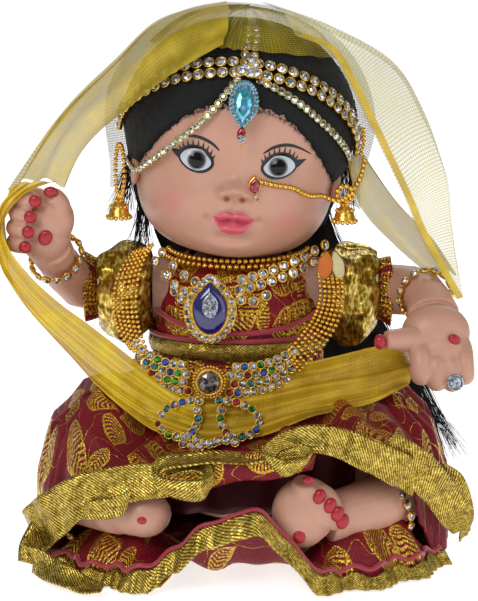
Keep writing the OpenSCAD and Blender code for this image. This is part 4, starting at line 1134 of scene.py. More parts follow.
def make_bodice(striped, gold_lace, piping):
    def front(u, v):
        turn = -180 + 360 * u
        z = 56 + 46 * v
        pleat = 0.5 * math.sin(turn * 0.9 + 5 * noise.noise(Vector((turn * 0.03, z * 0.06, 0))))
        return chest_place(turn, z, 0.8 + pleat)
    cloth("bodice_cloth", front, (190, 46), (150, 30), striped, "torso", "brocade", "stretched", ["bodice"],
        ["torso_shell"],
        thick=0.5)

    def band(u, v):
        turn = -180 + 360 * u
        z = 66.5 + 6.4 * v + 1.8 * math.cos(math.radians(turn - 4))
        return chest_place(turn, z, 1.8 + 0.9 * math.sin(math.pi * v) + 0.35 * math.sin(turn * 1.1))
    cloth("lace_band", band, (200, 9), (160, 8), gold_lace, "torso", "gold_lace", "stretched",
        ["bodice_lace_band"],
        ["bodice_cloth"], thick=0.5)

    bm = bmesh.new()
    for z, rise in ((73.8, 1.8), (84.5, -6)):
        path = []
        for i in range(97):
            turn = -100 + 200 * i / 96
            path.append((chest_place(turn, z + rise * math.cos(math.radians(turn * 1.2)), 2.2), 0.9, 0.9))
        limb(bm, path, 8)
    finish(bm, "bodice_piping", piping, "torso", "brocade")


def make_sleeve(side, gold_tissue, striped, seam):
    name = "right" if side < 0 else "left"

    def puff(u, v):
        around = math.tau * u
        gather = 0.4 * math.sin(13 * around) + 0.15 * math.sin(31 * around + 2)
        gather += 1.3 * noise.noise(Vector((math.cos(around) * 4, math.sin(around) * 4 + side * 9,
            v * 1.2)))
        body = math.sin(math.pi * (0.04 + 0.92 * v)) ** 0.55
        crumple = noise.noise(Vector((math.cos(around) * 1.6, math.sin(around) * 1.6 + side * 3, v * 2.4)))
        r = 10.0 + 7.4 * body + 3.4 * crumple * body + gather * (1.5 - body)
        x = 31.5 + 19.5 * v + 0.8 * crumple
        droop = -1.5 * body
        return Vector((side * x, -3 + r * math.sin(around), 89 + droop + r * 1.02 * math.cos(around)))
    cloth("sleeve_puff_" + name, puff, (84, 34), (140, 26), gold_tissue, "arm_" + name, "gold_tissue",
        "gathered", ["sleeve_" + name], ["arm_" + name], thick=0.5)

    def cuff(u, v):
        around = math.tau * u
        flare = 9.8 + 2.4 * v + 0.45 * math.sin(31 * around) * (0.4 + v)
        x = 49.5 + 6.4 * v
        lift = 0.9 * v * v
        return Vector((side * x, -3 - 1.2 * v * v + flare * math.sin(around),
            89 + lift * side * -1 + flare * math.cos(around)))
    cloth("sleeve_frill_" + name, cuff, (70, 7), (140, 8), striped, "arm_" + name, "brocade", "gathered",
        ["sleeve_cuff_" + name], ["sleeve_puff_" + name], thick=0.5)
    bm = bmesh.new()
    path = [((side * 50.4, -3 + 12.2 * math.sin(t), 89 + 12.2 * math.cos(t)), 0.55, 0.55) for t in
        (i * math.tau / 72 for i in range(73))]
    limb(bm, path, 6, facing=(1, 0, 0.02))
    finish(bm, "sleeve_seam_" + name, seam, "arm_" + name, "gold_lace")


# ------------------------------------------------------------------ chest jewellery


def bead_mesh_band(name, middle, halves, rows, pitch, radius, body, nodes=()):
    """Strap of small gold balls in staggered rows. halves give the vector across half the width at
    each point.
    """
    bm = bmesh.new()
    length = sum((Vector(b) - Vector(a)).length for a, b in zip(middle, middle[1:]))
    steps = int(length / pitch)
    for i in range(steps + 1):
        s = i / steps
        centre, across = spline_at([Vector(p) for p in middle], s), spline_at([Vector(p) for p in halves],
            s)
        for k in range(rows):
            share = (2 * k / (rows - 1) - 1)
            sag = Vector((0, -1.0 * (1 - share * share), 0))
            place = centre + across * share + sag
            bmesh.ops.create_icosphere(bm, subdivisions=1, radius=radius, matrix=Matrix.Translation(place))
    return finish(bm, name, gilt, body, "gilt", nodes)


def make_chest_jewels():
    collar = []
    for row in range(2):
        for i in range(34):
            a = math.radians(-80 + 160 * (i + 0.5 * (row % 2)) / 33.5)
            r = 25.8 + 1.9 * row
            collar.append((r * math.sin(a), -r * math.cos(a), 104.6 - 1.7 * row - 1.2 * math.cos(a)))
    bead_row("collar_row", collar, 1.0, "torso", ["collar_beads"])
    stones = []
    for start, end, count in (((-27, -25, 106.5), (-15, -33, 97.5), 4),
        ((-29.5, -26, 103.5), (-19, -33.5, 94), 4),
        ((-25, -29, 99), (-20, -33, 91.5), 3),
        ((31, -26.5, 109.5), (1.5, -34, 98.5), 9),
        ((31, -27.5, 105.5), (0.5, -35, 95), 9),
        ((10, -34, 92.8), (1, -35.5, 91.5), 3)):
        for i in range(count):
            place = Vector(start).lerp(Vector(end), i / (count - 1))
            sag = 1.4 * math.sin(math.pi * i / (count - 1))
            turn = math.atan2(place.x, -place.y)
            out = Vector((math.sin(turn), -math.cos(turn), 0.15))
            around = chest_place(math.degrees(turn), place.z - sag, 3.0)
            stones.append((around if around.y < place.y else place - Vector((0, 0, sag)), out, 1.65))
    set_stones("choker_row", stones, "torso", ["choker"])
    straps = (("right", [(-34, -23, 107.5), (-38.5, -27, 100), (-40, -32, 90), (-38.5, -36, 81),
        (-34.5, -39, 73)],
        [(-3.3, 1.0, -1.4), (-3.8, 0.4, -0.9), (-3.9, 0, -0.2), (-3.9, 0, 0.8), (-3.4, 0, 1.8)]),
        ("left", [(32.6, -28, 99), (33.2, -30.5, 91.5), (31, -34, 84), (26, -37.5, 77),
            (19.5, -40.5, 70.5)],
            [(3.9, 0, -0.4), (4.0, 0, -0.2), (3.9, 0, -1.2), (3.2, 0, -2.5), (2.2, 0, -3.3)]))
    for name, middle, halves in straps:
        bead_mesh_band("strap_mesh_" + name, middle, halves, 6, 1.62, 0.86, "torso",
            ["necklace_strap_" + name])


def make_necklace_front():
    """V band of three stone rows to the round centre stone, with coloured stones and looped lobes below."""
    draw = random.Random(4)
    centre = Vector((-10, -46.5, 64.5))
    groups = {"clear": [], "blue": [], "teal": [], "green": [], "red": []}
    for start, end in (((-36, -39, 71), (-18, -44.5, 65)), ((19, -40.5, 69), (-2.5, -45, 64.5))):
        a, b = Vector(start), Vector(end)
        run = (b - a).length
        side = 1 if start[0] > 0 else -1
        across = Vector((0.1 * side, 0, 1))
        for row in range(4):
            n = int(run / 3.1)
            for i in range(n + 1):
                s = (i + 0.5 * (row % 2)) / (n + 0.5)
                p = a.lerp(b, s) + across * (5 - 3.1 * row) + Vector((0, -1.2 * math.sin(math.pi * s),
                    -1.6 * math.sin(math.pi * s)))
                kind = draw.choices(("clear", "blue", "teal", "green", "red"), (11, 1, 1, 1.2, 1.2))[0]
                groups[kind].append((p, (0.15 * draw.uniform(-1, 1), -1, 0.2), 1.42))
    for side in (-1, 1):
        loop = [(side * 3.5, -1, -6.5), (side * 9.5, -1.5, -7), (side * 15.5, -3, -9.5),
            (side * 17.6, -6, -14),
            (side * 13, -9, -17), (side * 7, -10, -16.5), (side * 4, -6, -12.5), (side * 4.6, -2, -7.5)]
        for i, (p, _) in enumerate(along_path([Vector(q) for q in loop], 3.0)):
            kind = ("clear", "clear", "blue", "clear", "teal", "clear", "red", "clear",
                "green")[(i + (side > 0) * 4) % 9]
            groups[kind].append((centre + p, (0, -1, 0.25), 1.42))
        for i, (p, _) in enumerate(along_path([(side * 7, -10.5, -17), (side * 1, -12, -19)], 2.9)):
            groups["clear"].append((centre + p, (0, -1, 0.3), 1.4))
    for i in range(7):
        groups["clear"].append((centre + Vector((-9 + 3 * i, -12, -19 - 1.2 * math.sin(i))), (0, -1, 0.3),
            1.35))
    on_pendant = lambda place: place[0].z < 58.5
    for kind, places in groups.items():
        stone = {"clear": crystal, "blue": sapphire, "teal": teal_stone, "green": green_stone,
            "red": ruby}[kind]
        band = [p for p in places if not on_pendant(p)]
        lobes = [p for p in places if on_pendant(p)]
        set_stones("necklace_band_" + kind, band, "torso", ["necklace_band"] if kind == "clear" else [],
            stone=stone)
        if lobes:
            set_stones("lobe_" + kind, lobes, "necklace_pendant",
                ["pendant_lobes"] if kind == "clear" else [], stone=stone)
    bezel = bmesh.new()
    where = frame_at(centre, (0, -1, 0.12))
    cup(bezel, centre + Vector((0, -0.5, 0)), (0, -1, 0.12), 4.1, 32)
    for r, count, size, out in ((5.5, 30, 0.62, 0.6), (4.6, 26, 0.42, 1.2)):
        for i in range(count):
            a = i * math.tau / count
            bmesh.ops.create_icosphere(bezel, subdivisions=1, radius=size,
                matrix=Matrix.Translation(where @ Vector((r * math.cos(a),
                    r * math.sin(a), out))))
    finish(bezel, "centre_bezel", gilt, "necklace_pendant", "gilt", ["pendant_centre_stone"])
    gem = bmesh.new()
    cut_stone(gem, centre + Vector((0, -1.1, 0.1)), (0, -1, 0.12), 4.1, 1, 12, 0.45)
    finish(gem, "centre_stone", smoky, "necklace_pendant", "smoky_stone", smooth=False)


def teardrop_edge(half_w, half_h, share, point_up=True):
    a = share * math.tau
    s = math.sin(a)
    pinch = 1 - s**2.2 if s > 0 else 1
    return half_w * math.cos(a) * (0.35 + 0.65 * pinch), (1 if point_up else -1) * half_h * s


def teardrop_slab(bm, where, half_w, half_h, deep, rise, point_up=True, sides=48):
    """Pillowed teardrop: straight wall, then rings closing to a domed top."""
    rings = []
    for scale, h in ((1, -deep), (1, 0), (0.93, rise * 0.5), (0.78, rise * 0.85), (0.5, rise),
        (0.2, rise * 1.02)):
        rings.append([bm.verts.new(where @ Vector((x * scale, z * scale, h)))
            for x, z in (teardrop_edge(half_w, half_h, j / sides,
                point_up) for j in range(sides))])
    for a, b in zip(rings, rings[1:]):
        for j in range(sides):
            bm.faces.new((a[j], a[(j + 1) % sides], b[(j + 1) % sides], b[j]))
    bm.faces.new(rings[-1])
    bm.faces.new(list(reversed(rings[0])))
    bmesh.ops.recalc_face_normals(bm, faces=bm.faces)


def make_blue_pendant():
    centre, facing = Vector((-9.8, -36.6, 88.6)), (0, -1, 0.12)
    where = frame_at(centre, facing)
    plate = bmesh.new()
    teardrop_slab(plate, where, 9.4, 12.4, 1.4, 0.5)
    finish(plate, "blue_pendant_plate", gilt, "choker_pendant", "gilt", ["choker_pendant_frame"])
    enamel = bmesh.new()
    teardrop_slab(enamel, where @ Matrix.Translation((0, 0, 0.5)), 6.3, 9.3, 0.5, 2.2)
    finish(enamel, "blue_enamel", enamel_blue, "choker_pendant", "blue_enamel", ["choker_pendant_stone"])
    white = bmesh.new()
    teardrop_slab(white, where @ Matrix.Translation((0, 1.2, 2.4)), 3.1, 4.9, 0.4, 0.5)
    finish(white, "pave_plate", silver, "choker_pendant", "silver_setting")
    border = [(where @ Vector((x, z, 0.9)), where.to_3x3() @ Vector((x * 0.03, 0, 1)), 1.15) for x, z in
        (teardrop_edge(8.1, 11, j / 25) for j in range(25))]
    set_stones("pendant_border", border, "choker_pendant")
    pave = [(0, 3.4), (-1, 2.1), (1, 2.1), (0, 0.9), (-1.9, 0.3), (1.9, 0.3), (-0.9, -0.8), (0.9, -0.8),
        (0, -2.2), (-1.9, -1.6),
        (1.9, -1.6), (-0.8, -3.4), (0.8, -3.4)]
    set_stones("pave", [(where @ Vector((x, z + 1.2, 3.1)), where.to_3x3() @ Vector((0, 0, 1)), 0.62)
        for x, z in pave],
        "choker_pendant", metal=silver)


def make_end_tabs(orange, cream):
    for name, place, turn, size, material in (("orange_tab", (30.9, -32, 103.4), -8, (2.7, 4.8), orange),
        ("cream_tab", (35.2, -31.4, 103.2), 14, (2.3, 4.9), cream)):
        bm = bmesh.new()
        where = frame_at(place, (0, -1, 0.15)) @ Matrix.Rotation(math.radians(turn), 4, "Z")
        teardrop_slab(bm, where, size[0], size[1], 0.5, 0.5)
        finish(bm, name, material, "torso", "end_tab",
            ["necklace_end_tabs"] if name == "orange_tab" else ())


# ------------------------------------------------------------------ head jewellery


def skull(turn, lift, out):
    """Point over the hair cap at a turn from the front and a lift above the middle, in head millimetres."""
    t, a = math.radians(turn), math.radians(lift)
    z = HEAD_HIGH * math.sin(a)
    w, d = head_width(z), head_depth(z)
    n = Vector((math.cos(a) * math.sin(t), -math.cos(a) * math.cos(t), math.sin(a)))
    return Vector((w * math.sin(t), -d * math.cos(t), z)) + n * out, n


def chain_on_head(name, path, pitch, radius, out, nodes=(), metal=None):
    """Cup chain along (turn, lift) points."""
    corners = [Vector((turn, lift, 0)) for turn, lift in path]
    dense = [skull(p.x, p.y, out)[0] for p in (spline_at(corners, i / 60) for i in range(61))]
    places = [(place, place.normalized(), radius) for place, _ in along_path(dense, pitch)]
    set_stones(name, places, "head", nodes, metal=metal, placed=HEAD)


def make_head_jewels():
    chain_on_head("head_chain_top",
        [(-78, 6), (-60, 22), (-40, 33.5), (-20, 39.5), (0, 41.5), (20, 39.5), (40, 33), (60, 20),
            (78, 2)], 4.3, 1.75, 3.6, ["head_chain"])
    chain_on_head("head_chain_low_right", [(-80, 0), (-60, 15.5), (-40, 27), (-20, 33.5), (-3, 36)], 4.3,
        1.75, 3.6)
    chain_on_head("head_chain_low_left", [(5, 36), (20, 33.5), (40, 27), (60, 14), (80, -5)], 4.3, 1.75,
        3.6)
    chain_on_head("parting_row_a", [(-1, 46), (0, 56), (1, 68)], 3.6, 1.4, 3.4, ["parting_chain"])
    chain_on_head("parting_row_b", [(4.5, 46), (6, 56), (8, 68)], 3.6, 1.4, 3.4)
    cluster = [skull(a, b, 4.6)
        for a, b in ((0, 38), (4.5, 40), (2.5, 35.5), (-2.5, 36), (5.5, 35.5), (2, 42))]
    set_stones("centre_cluster", [(p, n, 1.9) for p, n in cluster], "head", placed=HEAD)
    chain_on_head("brow_row_right",
        [(-4, 33), (-8, 26), (-13, 17.5), (-20, 8.5), (-29, 0.5), (-39, -7), (-52, -14.5), (-64, -19.5),
            (-76, -16)],
        2.75, 1.22, 2.9, ["brow_chain_right"], metal=pale_gold)
    chain_on_head("brow_row_left", [(8, 33), (19, 28), (29, 22), (40, 14), (53, 5), (66, -3), (77, -9)],
        2.75, 1.3, 2.9, ["brow_chain_left"], metal=pale_gold)
    ruby_gem, rim = bmesh.new(), bmesh.new()
    at_nose = on_face(6.6, -12.6, 1.2)
    where = frame_at(at_nose, (0.2, -1, 0))
    teardrop_slab(ruby_gem, where, 1.9, 2.9, 0.6, 1.1, True, 24)
    finish(ruby_gem, "nose_ruby", ruby, "head", "red_stone", ["nose_stud"], placed=HEAD)
    teardrop_slab(rim, where @ Matrix.Translation((0, 0, -0.5)), 2.3, 3.3, 0.4, 0.4, True, 24)
    finish(rim, "nose_ruby_rim", gilt, "head", "gilt", placed=HEAD)
    set_stones("nose_drops", [(at_nose + Vector((0.6, -0.2, -3.9)), (0, -1, 0), 0.6),
        (at_nose + Vector((1.4, -0.2, -4.9)), (0, -1, 0), 0.5)], "head", placed=HEAD)
    chain = [on_face(x, z, 1.1)
        for x, z in ((8.6, -11.3), (14, -12.3), (20, -13.2), (26, -16.2), (31, -17))]
    chain += [Vector((36, -24, -18)), Vector((40.5, -20, -16.5)), Vector((44.5, -16, -10)),
        Vector((45.5, -13.5, -3))]
    bead_row("nose_chain_beads", [p for p, _ in along_path(chain, 1.85)], 0.98, "head", ["nose_chain"],
        placed=HEAD)
    clip = [Vector(p) for p in ((44, -13, -2), (44.6, -12, 3), (43.6, -13, 8))]
    bead_row("chain_clip", [p for p, _ in along_path(clip, 1.5)], 0.8, "head", placed=HEAD)


def make_tikka():
    where = frame_at(Vector((0.2, -43.6, 15.5)), (0.02, -1, 0.36))
    plate, gem, drop = bmesh.new(), bmesh.new(), bmesh.new()
    teardrop_slab(plate, where, 5.1, 8.2, 0.6, 0.3, False)
    finish(plate, "tikka_plate", silver, "tikka", "silver_setting", ["tikka_frame"], placed=HEAD)
    rings = []
    for scale, h in ((1, 0.2), (0.7, 1.3), (0.36, 1.7)):
        rings.append([gem.verts.new(where @ Vector((x * scale, z * scale, h)))
            for x, z in (teardrop_edge(3.5, 6.5, j / 14, False) for j in range(14))])
    for a, b in zip(rings, rings[1:]):
        for j in range(14):
            gem.faces.new((a[j], a[(j + 1) % 14], b[(j + 1) % 14], b[j]))
    gem.faces.new(rings[-1])
    bmesh.ops.recalc_face_normals(gem, faces=gem.faces)
    finish(gem, "tikka_crystal", iridescent, "tikka", "crystal", ["tikka_stone"], smooth=False, placed=HEAD)
    border = [(where @ Vector((x, z, 0.6)), where.to_3x3() @ Vector((0, 0, 1)), 0.62) for x, z in
        (teardrop_edge(4.5, 7.6, j / 32, False) for j in range(32))]
    set_stones("tikka_border", border, "tikka", stone=iridescent, metal=silver, placed=HEAD)
    below = where @ Vector((0, -10.6, 0.2))
    drop_at = frame_at(below, (0, -1, 0.15))
    teardrop_slab(drop, drop_at, 1.6, 2.9, 0.7, 1.2, True, 24)
    finish(drop, "tikka_red_drop", ruby, "tikka", "red_stone", ["tikka_drop"], placed=HEAD)
    set_stones("tikka_drop_stone", [(drop_at @ Vector((0.1, -1.6, 1.4)), (0, -1, 0), 1.1)], "tikka",
        metal=silver, placed=HEAD)
    bead_row("tikka_last_bead", [drop_at @ Vector((0.2, -4.2, 0.6))], 0.5, "tikka", placed=HEAD)


def make_ears():
    """Gold ear hoops with bell earrings."""
    for side, name, body in ((-1, "right", "earring_right"), (1, "left", "earring_left")):
        top = Vector((-43.6, -15.3, 136.2)) if side < 0 else Vector((42.1, -15.3, 128.8))
        if side < 0:
            loops = [top + Vector((1.5 + 1.6 * math.cos(a), -1.5, -1.5 + 9.5 * math.sin(a))) for a in
                (i * math.tau / 30 for i in range(30))]
            bead_row("ear_loops_beads_" + name, loops, 0.85, "head", ["ear_loops_" + name])
        else:
            loops = [top + Vector((2.8 * math.cos(a) - 4.0, -4.5,
                -2.0 + 2.8 * math.sin(a))) for a in (i * math.tau / 9 for i in range(9))]
            bead_row("ear_loops_beads_" + name, loops, 1.1, "head", ["ear_loops_" + name])
        bm = bmesh.new()
        low = top + (Vector((1, -1.5, -15)) if side < 0 else Vector((-4.0, -4.5, -8.6)))
        profile = [(0.3, 4.6), (1.1, 4.2), (1.6, 3.2), (2.4, 2.2), (3.6, 0.9), (4.3, -0.9), (4.8, -2.8),
            (5.3, -3.4), (4.6, -3.6)]
        rings = [[bm.verts.new(low + 0.8 * Vector((r * math.cos(t), r * math.sin(t), z))) for t in
            (j * math.tau / 28 for j in range(28))] for r, z in profile]
        for a, b in zip(rings, rings[1:]):
            for j in range(28):
                bm.faces.new((a[j], b[j], b[(j + 1) % 28], a[(j + 1) % 28]))
        for count, r, z, size in ((14, 5.0, -4.0, 0.85), (10, 3.7, 0.9, 0.6), (6, 1.7, 3.6, 0.6)):
            for i in range(count):
                t = i * math.tau / count
                bmesh.ops.create_icosphere(bm, subdivisions=2, radius=size, matrix=Matrix.Translation(
                    low + 0.8 * Vector((r * math.cos(t), r * math.sin(t), z))))
        finish(bm, "bell_" + name, gilt, body, "gilt", ["jhumka_" + name])


# ------------------------------------------------------------------ veil


def make_veil(net, net_crown, net_dense, net_folded, net_lap, edge_band):
    """Net veil: over the crown, down both sides, round the raised hand and across the lap."""
    def crown(u, v):
        turn = -100 + 200 * u
        front = 48 - 6 * abs(turn / 100) ** 1.5
        lift = front + (92 - front) * v
        out = 4.2 + 1.4 * smooth_step(0, 0.5, v) + 0.35 * math.sin(turn * 0.33 + 5 * v)
        if turn < 0:
            out += 0.5 * math.sin(turn * 0.9 + 9 * v)
        return skull(turn, lift, out)[0]
    cloth("veil_over_crown", crown, (95, 36), (120, 40), net_crown, "head", "veil_net", "draped",
        ["veil_crown"], ["hair_cap"],
        placed=HEAD)

    def back(u, v):
        turn = 100 + 160 * u
        lift = 80 - 110 * v
        place = skull(turn, max(lift, -20), 7 + 4 * v)[0]
        place.z = min(place.z, 200)
        t = HEAD @ place * 1000
        if lift < -20:
            t.z -= (-20 - lift) * 0.9
        t.y += 3 * smooth_step(0.4, 1, v) + 1.5 * math.sin(u * 40) * smooth_step(0.2, 1, v)
        return t
    cloth("veil_behind", back, (130, 95), (100, 40), net, "torso", "veil_net", "draped", ["veil_back"],
        ["hair_cap"])

    # Right side: a bundle of folds from the crown down over the fingertips
    rows = [[(-5, -32, 181), (-3, -24, 190), (-4, 2, 194)],
        [(-15.5, -35.5, 175.5), (-16, -24, 187), (-18, 2, 191)],
        [(-25, -38, 169), (-30, -24, 180.5), (-31, 2, 186)],
        [(-37, -38.5, 158.5), (-42, -25, 169), (-44, -2, 174)],
        [(-48, -37, 150), (-56, -25, 157), (-57, -8, 161)],
        [(-55, -36.5, 142), (-65, -26, 146), (-68, -14, 147)],
        [(-60, -37.5, 132.5), (-72, -31, 134), (-81, -25, 128)]]

    def fall_right(u, v):
        place = rows_at(rows, v, u)
        fold = math.sin(u * 17 + 3 * v) * (0.5 + 0.8 * v) + 1.5 * noise.noise(Vector((u * 4, v * 3,
            2))) * (0.3 + v)
        return place + Vector((-0.5 * fold, -0.5 * fold, 0.8 * fold))
    cloth("veil_fall_folds", fall_right, (42, 98), (110, 60), net_dense, "torso", "veil_net", "gathered",
        ["veil_fall_right"],
        ["hair_cap", "arm_right_skin"], bends=("torso", "arm_right", (-38, -30, 160), (-70, -34, 134)))

    wrap = [[(-62, -37, 134), (-74, -37, 134), (-80, -28, 130)],
        [(-72, -38.5, 131.5), (-82.5, -34, 125), (-82.5, -24, 120)],
        [(-81.5, -37.5, 121), (-84, -32, 114), (-82, -24, 110)],
        [(-79.5, -39.5, 111), (-82.5, -36, 103), (-80, -30, 99)],
        [(-71.5, -40, 100), (-76.5, -38, 94), (-75, -33, 90)],
        [(-62, -40, 91), (-67.5, -38.5, 83.5), (-67, -35, 80)],
        [(-53, -39.5, 84), (-58.5, -39.5, 75), (-58.5, -37.5, 71)],
        [(-44, -40, 77), (-49, -42, 67), (-50, -42.5, 62.5)],
        [(-33, -42, 68.5), (-38, -46.5, 60), (-40, -48.5, 55)],
        [(-22, -44, 61), (-27, -49.5, 54), (-30, -53, 49)],
        [(-12, -46, 56), (-16, -51.5, 50), (-20, -56, 46)]]

    def band_right(u, v):
        place = rows_at(wrap, v, u)
        fold = 0.8 * math.sin(u * 26 + 4 * v) + 0.5 * math.sin(u * 51 + 2)
        fold += 1.2 * noise.noise(Vector((u * 4, v * 7, 1)))
        bulge = 1.6 * math.sin(math.pi * u) * (1 - 0.6 * v)
        return place + Vector((-0.3 * fold, -0.8 * fold - bulge, 0.4 * fold))
    cloth("veil_band_folds", band_right, (22, 126), (50, 110), net_folded, "torso", "veil_net", "folded",
        ["veil_band_right"],
        ["arm_right_skin", "skirt_upper"], bends=("arm_right", "torso", (-78, -36, 104), (-50, -40, 74)))

    lap = [[(64, -33, 76), (62, -38, 67), (60, -40, 61)],
        [(46, -37, 74), (46, -42, 63.5), (46, -46, 56)],
        [(26, -38, 69), (26, -44, 60), (27, -50, 53)],
        [(6, -39, 65), (6, -46, 56), (8, -54, 47.5)],
        [(-14, -39, 62), (-14, -47, 54), (-12, -56, 45.5)],
        [(-34, -39, 64), (-34, -46, 58), (-32, -52, 51)]]

    def lap_net(u, v):
        place = rows_at(lap, v, u)
        fold = math.sin(u * 14 + 4 * v) + 0.6 * math.sin(u * 31 + v) + 1.3 * noise.noise(Vector((u * 3,
            v * 6, 4)))
        return place + Vector((0, -0.7 * fold, 0.7 * fold))
    cloth("veil_lap_folds", lap_net, (28, 102), (50, 90), net_lap, "torso", "veil_net", "draped",
        ["veil_band_left"],
        ["skirt_upper", "bodice_cloth"])

    # Left side: one sheer layer, open from the crown to the wrist
    wrist = ("torso", "arm_left", (58, -20, 138), (78, -22, 92))
    side = [[(20, -33, 184), (15, -16, 192), (8, 6, 193)],
        [(31, -35, 179), (33, -14, 185.5), (33, 8, 182)],
        [(39, -37, 166), (53, -16, 173.5), (56, 8, 169)],
        [(47, -37, 150), (64, -16, 156.5), (68, 8, 150)],
        [(57.6, -35.5, 128), (72, -16, 134), (76.5, 6, 130)],
        [(63, -33.5, 115.5), (75, -16, 117), (78.5, 3, 113)],
        [(71, -31, 101), (78.5, -20, 100), (80, -8, 97)],
        [(77, -29, 90.5), (80.5, -23, 90), (81.5, -17, 89)]]

    def fall_left(u, v):
        place = rows_at(side, v, u)
        fold = (0.7 * math.sin(u * 12 + 2 * v) + 0.5 * noise.noise(Vector((u * 3, v * 4,
            7)))) * math.sin(math.pi * v)
        return place + Vector((0.6 * fold, -0.3 * fold, 0))
    cloth("veil_fall_sheer", fall_left, (60, 108), (60, 80), net, "torso", "veil_net", "draped",
        ["veil_fall_left"],
        ["hair_cap"], bends=wrist)

    def hem_band(u, v):
        place = rows_at(side, v, 0.0)
        return place + Vector((0.9 + 2.3 * u, -0.9 + 0.8 * u, 0.6 * u))
    cloth("veil_hem_left", hem_band, (3, 115), (4, 80), edge_band, "torso", "veil_net", "draped", (),
        ["veil_fall_sheer"],
        bends=wrist)

    inner = [[(39, -12, 138), (43, -10, 141), (46, -6, 138)],
        [(44, -22, 122), (52, -14, 126), (58, -8, 122)],
        [(56, -26, 109), (62, -20, 112), (70, -10, 110)],
        [(70, -26, 97), (74, -22, 98), (79, -14, 97)]]

    def inner_fold(u, v):
        place = rows_at(inner, v, u)
        return place + Vector((0, 1.1 * math.sin(u * 12), 0.8 * math.sin(u * 12)))
    cloth("veil_inner_fold", inner_fold, (20, 60), (24, 40), net_dense, "torso", "veil_net", "folded", (),
        ["veil_fall_sheer"],
        bends=wrist)


# ------------------------------------------------------------------ hair behind


def make_hair_fall(hair):
    """Black fibre hair from under the cap down behind the doll to the floor, with loose strands."""
    draw = random.Random(21)
    rows = [[(-30, 22, 150), (0, 38, 150), (32, 22, 146)], [(-34, 26, 118), (2, 42, 118), (34, 28, 114)],
        [(-26, 34, 92), (14, 44, 90), (44, 34, 88)], [(0, 44, 66), (32, 50, 62), (60, 40, 60)],
        [(24, 50, 34), (50, 52, 32), (74, 36, 34)], [(36, 52, 5), (60, 48, 4), (84, 26, 5)]]
    bm = bmesh.new()
    cells = (26, 40)
    bmesh.ops.create_grid(bm, x_segments=cells[0], y_segments=cells[1], size=0.5)
    for v in bm.verts:
        a, b = v.co.x + 0.5, v.co.y + 0.5
        fold = 1.2 * math.sin(a * 40) + 0.8 * noise.noise(Vector((a * 9, b * 6, 0)))
        v.co = rows_at(rows, b, a) + Vector((0, fold, 0))
    for _ in range(900):
        a, b = draw.random(), draw.uniform(0, 0.55)
        reach = draw.uniform(0.25, 0.45)
        wave, lean = draw.uniform(-2.5, 2.5), draw.uniform(-0.04, 0.04)
        points = []
        for i in range(9):
            s = i / 8
            p = rows_at(rows, min(b + reach * s, 1), min(max(a + lean * s, -0.03), 1))
            points.append(p + Vector((wave * math.sin(3 * s), 1.0 + 1.6 * draw.random() * s, 0)))
        last = None
        for p in points:
            pair = [bm.verts.new(p + Vector((k * 0.14, 0, 0))) for k in (-1, 1)]
            if last:
                bm.faces.new((last[0], last[1], pair[1], pair[0]))
            last = pair
    for root, tip, count in (((-37, -6, 140), (-43, -4, 118), 60), ((38, -4, 138), (41, 0, 118), 40),
        ((-34, 2, 122), (-36, -4, 104), 60),
        ((70, 30, 46), (84, 26, 20), 60)):
        for _ in range(count):
            jitter = Vector([draw.uniform(-2.5, 2.5) for _ in range(3)])
            bend = Vector([draw.uniform(-4, 4) for _ in range(3)])
            last = None
            for i in range(8):
                s = i / 7
                p = Vector(root).lerp(Vector(tip), s) + jitter + bend * s * s
                pair = [bm.verts.new(p + Vector((k * 0.16 * (1 - 0.6 * s), 0, 0))) for k in (-1, 1)]
                if last:
                    bm.faces.new((last[0], last[1], pair[1], pair[0]))
                last = pair
    return finish(bm, "hair_behind", hair, "torso", "hair", ["hair_fall"])


# ------------------------------------------------------------------ build

make_camera()
make_world()
area_light("key", (-0.45, -0.9, 0.8), (0, 0, 0.1), 0.5, 5.2)
area_light("fill", (0.8, -0.6, 0.35), (0, 0, 0.1), 0.7, 1.8)
area_light("rim", (0.2, 0.8, 0.7), (0, 0, 0.12), 0.6, 2.5)

vinyl = make_vinyl()
felt = make_felt()
black_paint = make_plain("black_paint", "#0A0808", Roughness=0.35)
nail_paint = make_plain("red_paint", "#B4202F", Roughness=0.3)
eye_print = make_eye_print()
gilt = make_gilt("gilt_brass", "#FFD566", "#D09A30", 0.28)
pale_gold = make_gilt("pale_gilt", "#E6D27C", "#A8954C", 0.26)
silver = make_gilt("silver_plate", "#C8CCD2", "#70767E")
# Each stone's light and dark tones are painted facet reflections.
crystal = make_stone("clear_crystal", "#F4F6FA", "#5A6068")
iridescent = make_stone("iridescent_crystal", "#4FA6E0", "#2A3C9A", 0.7, ("#39C0A8", "#B9DFF6"))
smoky = make_stone("smoky_crystal", "#8C8078", "#1C1814", 0.6)
ruby = make_stone("red_glass", "#C01828", "#3C0408", 0.35)
sapphire = make_stone("blue_glass", "#2F66E0", "#0A1A60", 0.5)
teal_stone = make_stone("teal_glass", "#2C9CB4", "#06303C", 0.5)
green_stone = make_stone("green_glass", "#4CC03C", "#0C3A08", 0.5)
silver_stone = make_stone("grey_crystal", "#A8B2B8", "#4C565C", 0.5)
enamel_blue = make_plain("blue_enamel_fill", "#0C1068", Roughness=0.1, Coat_Weight=1.0)
orange_felt = make_plain("orange_tab_cloth", "#D4722C", Roughness=0.8)
cream_felt = make_plain("cream_tab_cloth", "#D8CC98", Roughness=0.7)
piping = make_plain("crimson_satin_piping", "#B02438", Roughness=0.4, Sheen_Weight=0.4)
# Crimson cloth for inside the skirt, painted darker than the brocade as shade for the hollow.
shaded_lining = make_plain("crimson_lining", "#6E1A28", Roughness=0.6)
seam_tape = make_plain("white_seam_tape", "#D8D0A8", Roughness=0.5)
brocade = make_brocade("crimson_brocade", "#8E1022", "#540812")
striped = make_brocade("striped_brocade", "#9C1424", "#600A14", cell=22, stripes=1.6)
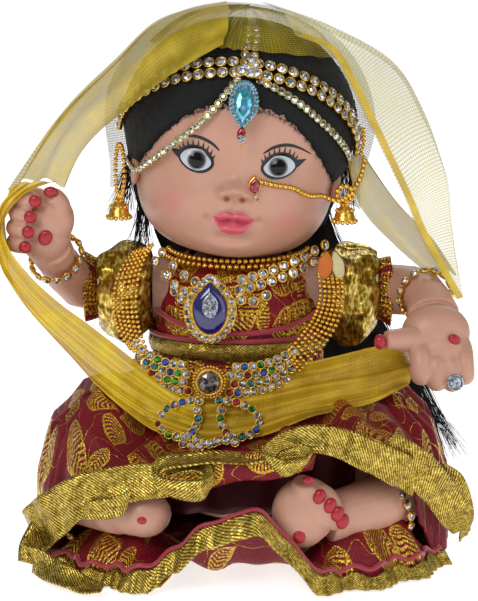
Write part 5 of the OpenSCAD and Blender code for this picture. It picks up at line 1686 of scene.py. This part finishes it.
# Gold cloth tones run from painted shade in the hollows to painted highlights on the raised grains.
gold_tissue = make_gold_cloth("gold_tissue", "#5E480A", "#A07C18", "#FFE884", grain=0.5, rough=0.26)
gold_lace = make_gold_cloth("gold_lace", "#4E3C08", "#8E7018", "#E6CE6C", rib=0.62, grain=1.3, rough=0.26)
# The last value of each net sets the size of its painted glints.
net = make_net("veil_net", 0.3, 0.72, ("#C2B03C", "#D8CC6C"), 0.05)
net_crown = make_net("veil_net_on_crown", 0.42, 0.74, ("#9C8A10", "#BCA622"), 0.05)
net_dense = make_net("veil_net_doubled", 0.66, 0.92, ("#A8900E", "#CDB024"), 0.06)
net_folded = make_net("veil_net_folded", 0.9, 1.0, ("#C8A008", "#E6C828"), 0.09)
net_lap = make_net("veil_net_lap", 0.8, 1.0, ("#B08A08", "#D8B01C"), 0.09)
edge_band = make_net("veil_hem_tape", 0.85, 1.0, ("#B89416", "#DDBC34"), 0.1)
hair_fibre = make_felt()
hair_fibre.name = "hair_fibre"

make_head(vinyl)
for side in (-1, 1):
    make_eye(side, eye_print)
make_face_paint(black_paint)
make_hair_cap(felt)
make_hair_fall(hair_fibre)
make_head_jewels()
make_tikka()
make_ears()
make_bodice(striped, gold_lace, piping)
for side in (-1, 1):
    make_sleeve(side, gold_tissue, striped, seam_tape)
make_chest_jewels()
make_necklace_front()
make_blue_pendant()
make_end_tabs(orange_felt, cream_felt)
make_arms(nail_paint)
make_legs(nail_paint)
make_bangles()
make_skirt(brocade, shaded_lining)
make_ribbons(gold_lace)
make_piping(piping)
make_veil(net, net_crown, net_dense, net_folded, net_lap, edge_band)


def make_floor():
    bm = bmesh.new()
    bmesh.ops.create_grid(bm, x_segments=1, y_segments=1, size=3)
    bmesh.ops.translate(bm, verts=bm.verts, vec=(0, 0, -0.0004))
    mesh = bpy.data.meshes.new("floor")
    bm.to_mesh(mesh)
    bm.free()
    floor = bpy.data.objects.new("floor", mesh)
    bpy.context.scene.collection.objects.link(floor)
    material, _, shader = new_material("floor_paper", Roughness=0.9)
    shader.inputs["Base Color"].default_value = srgb("#E8E8EA")
    shader.inputs["Emission Color"].default_value = (1, 1, 1, 1)
    shader.inputs["Emission Strength"].default_value = 0.75
    mesh.materials.append(material)


make_floor()
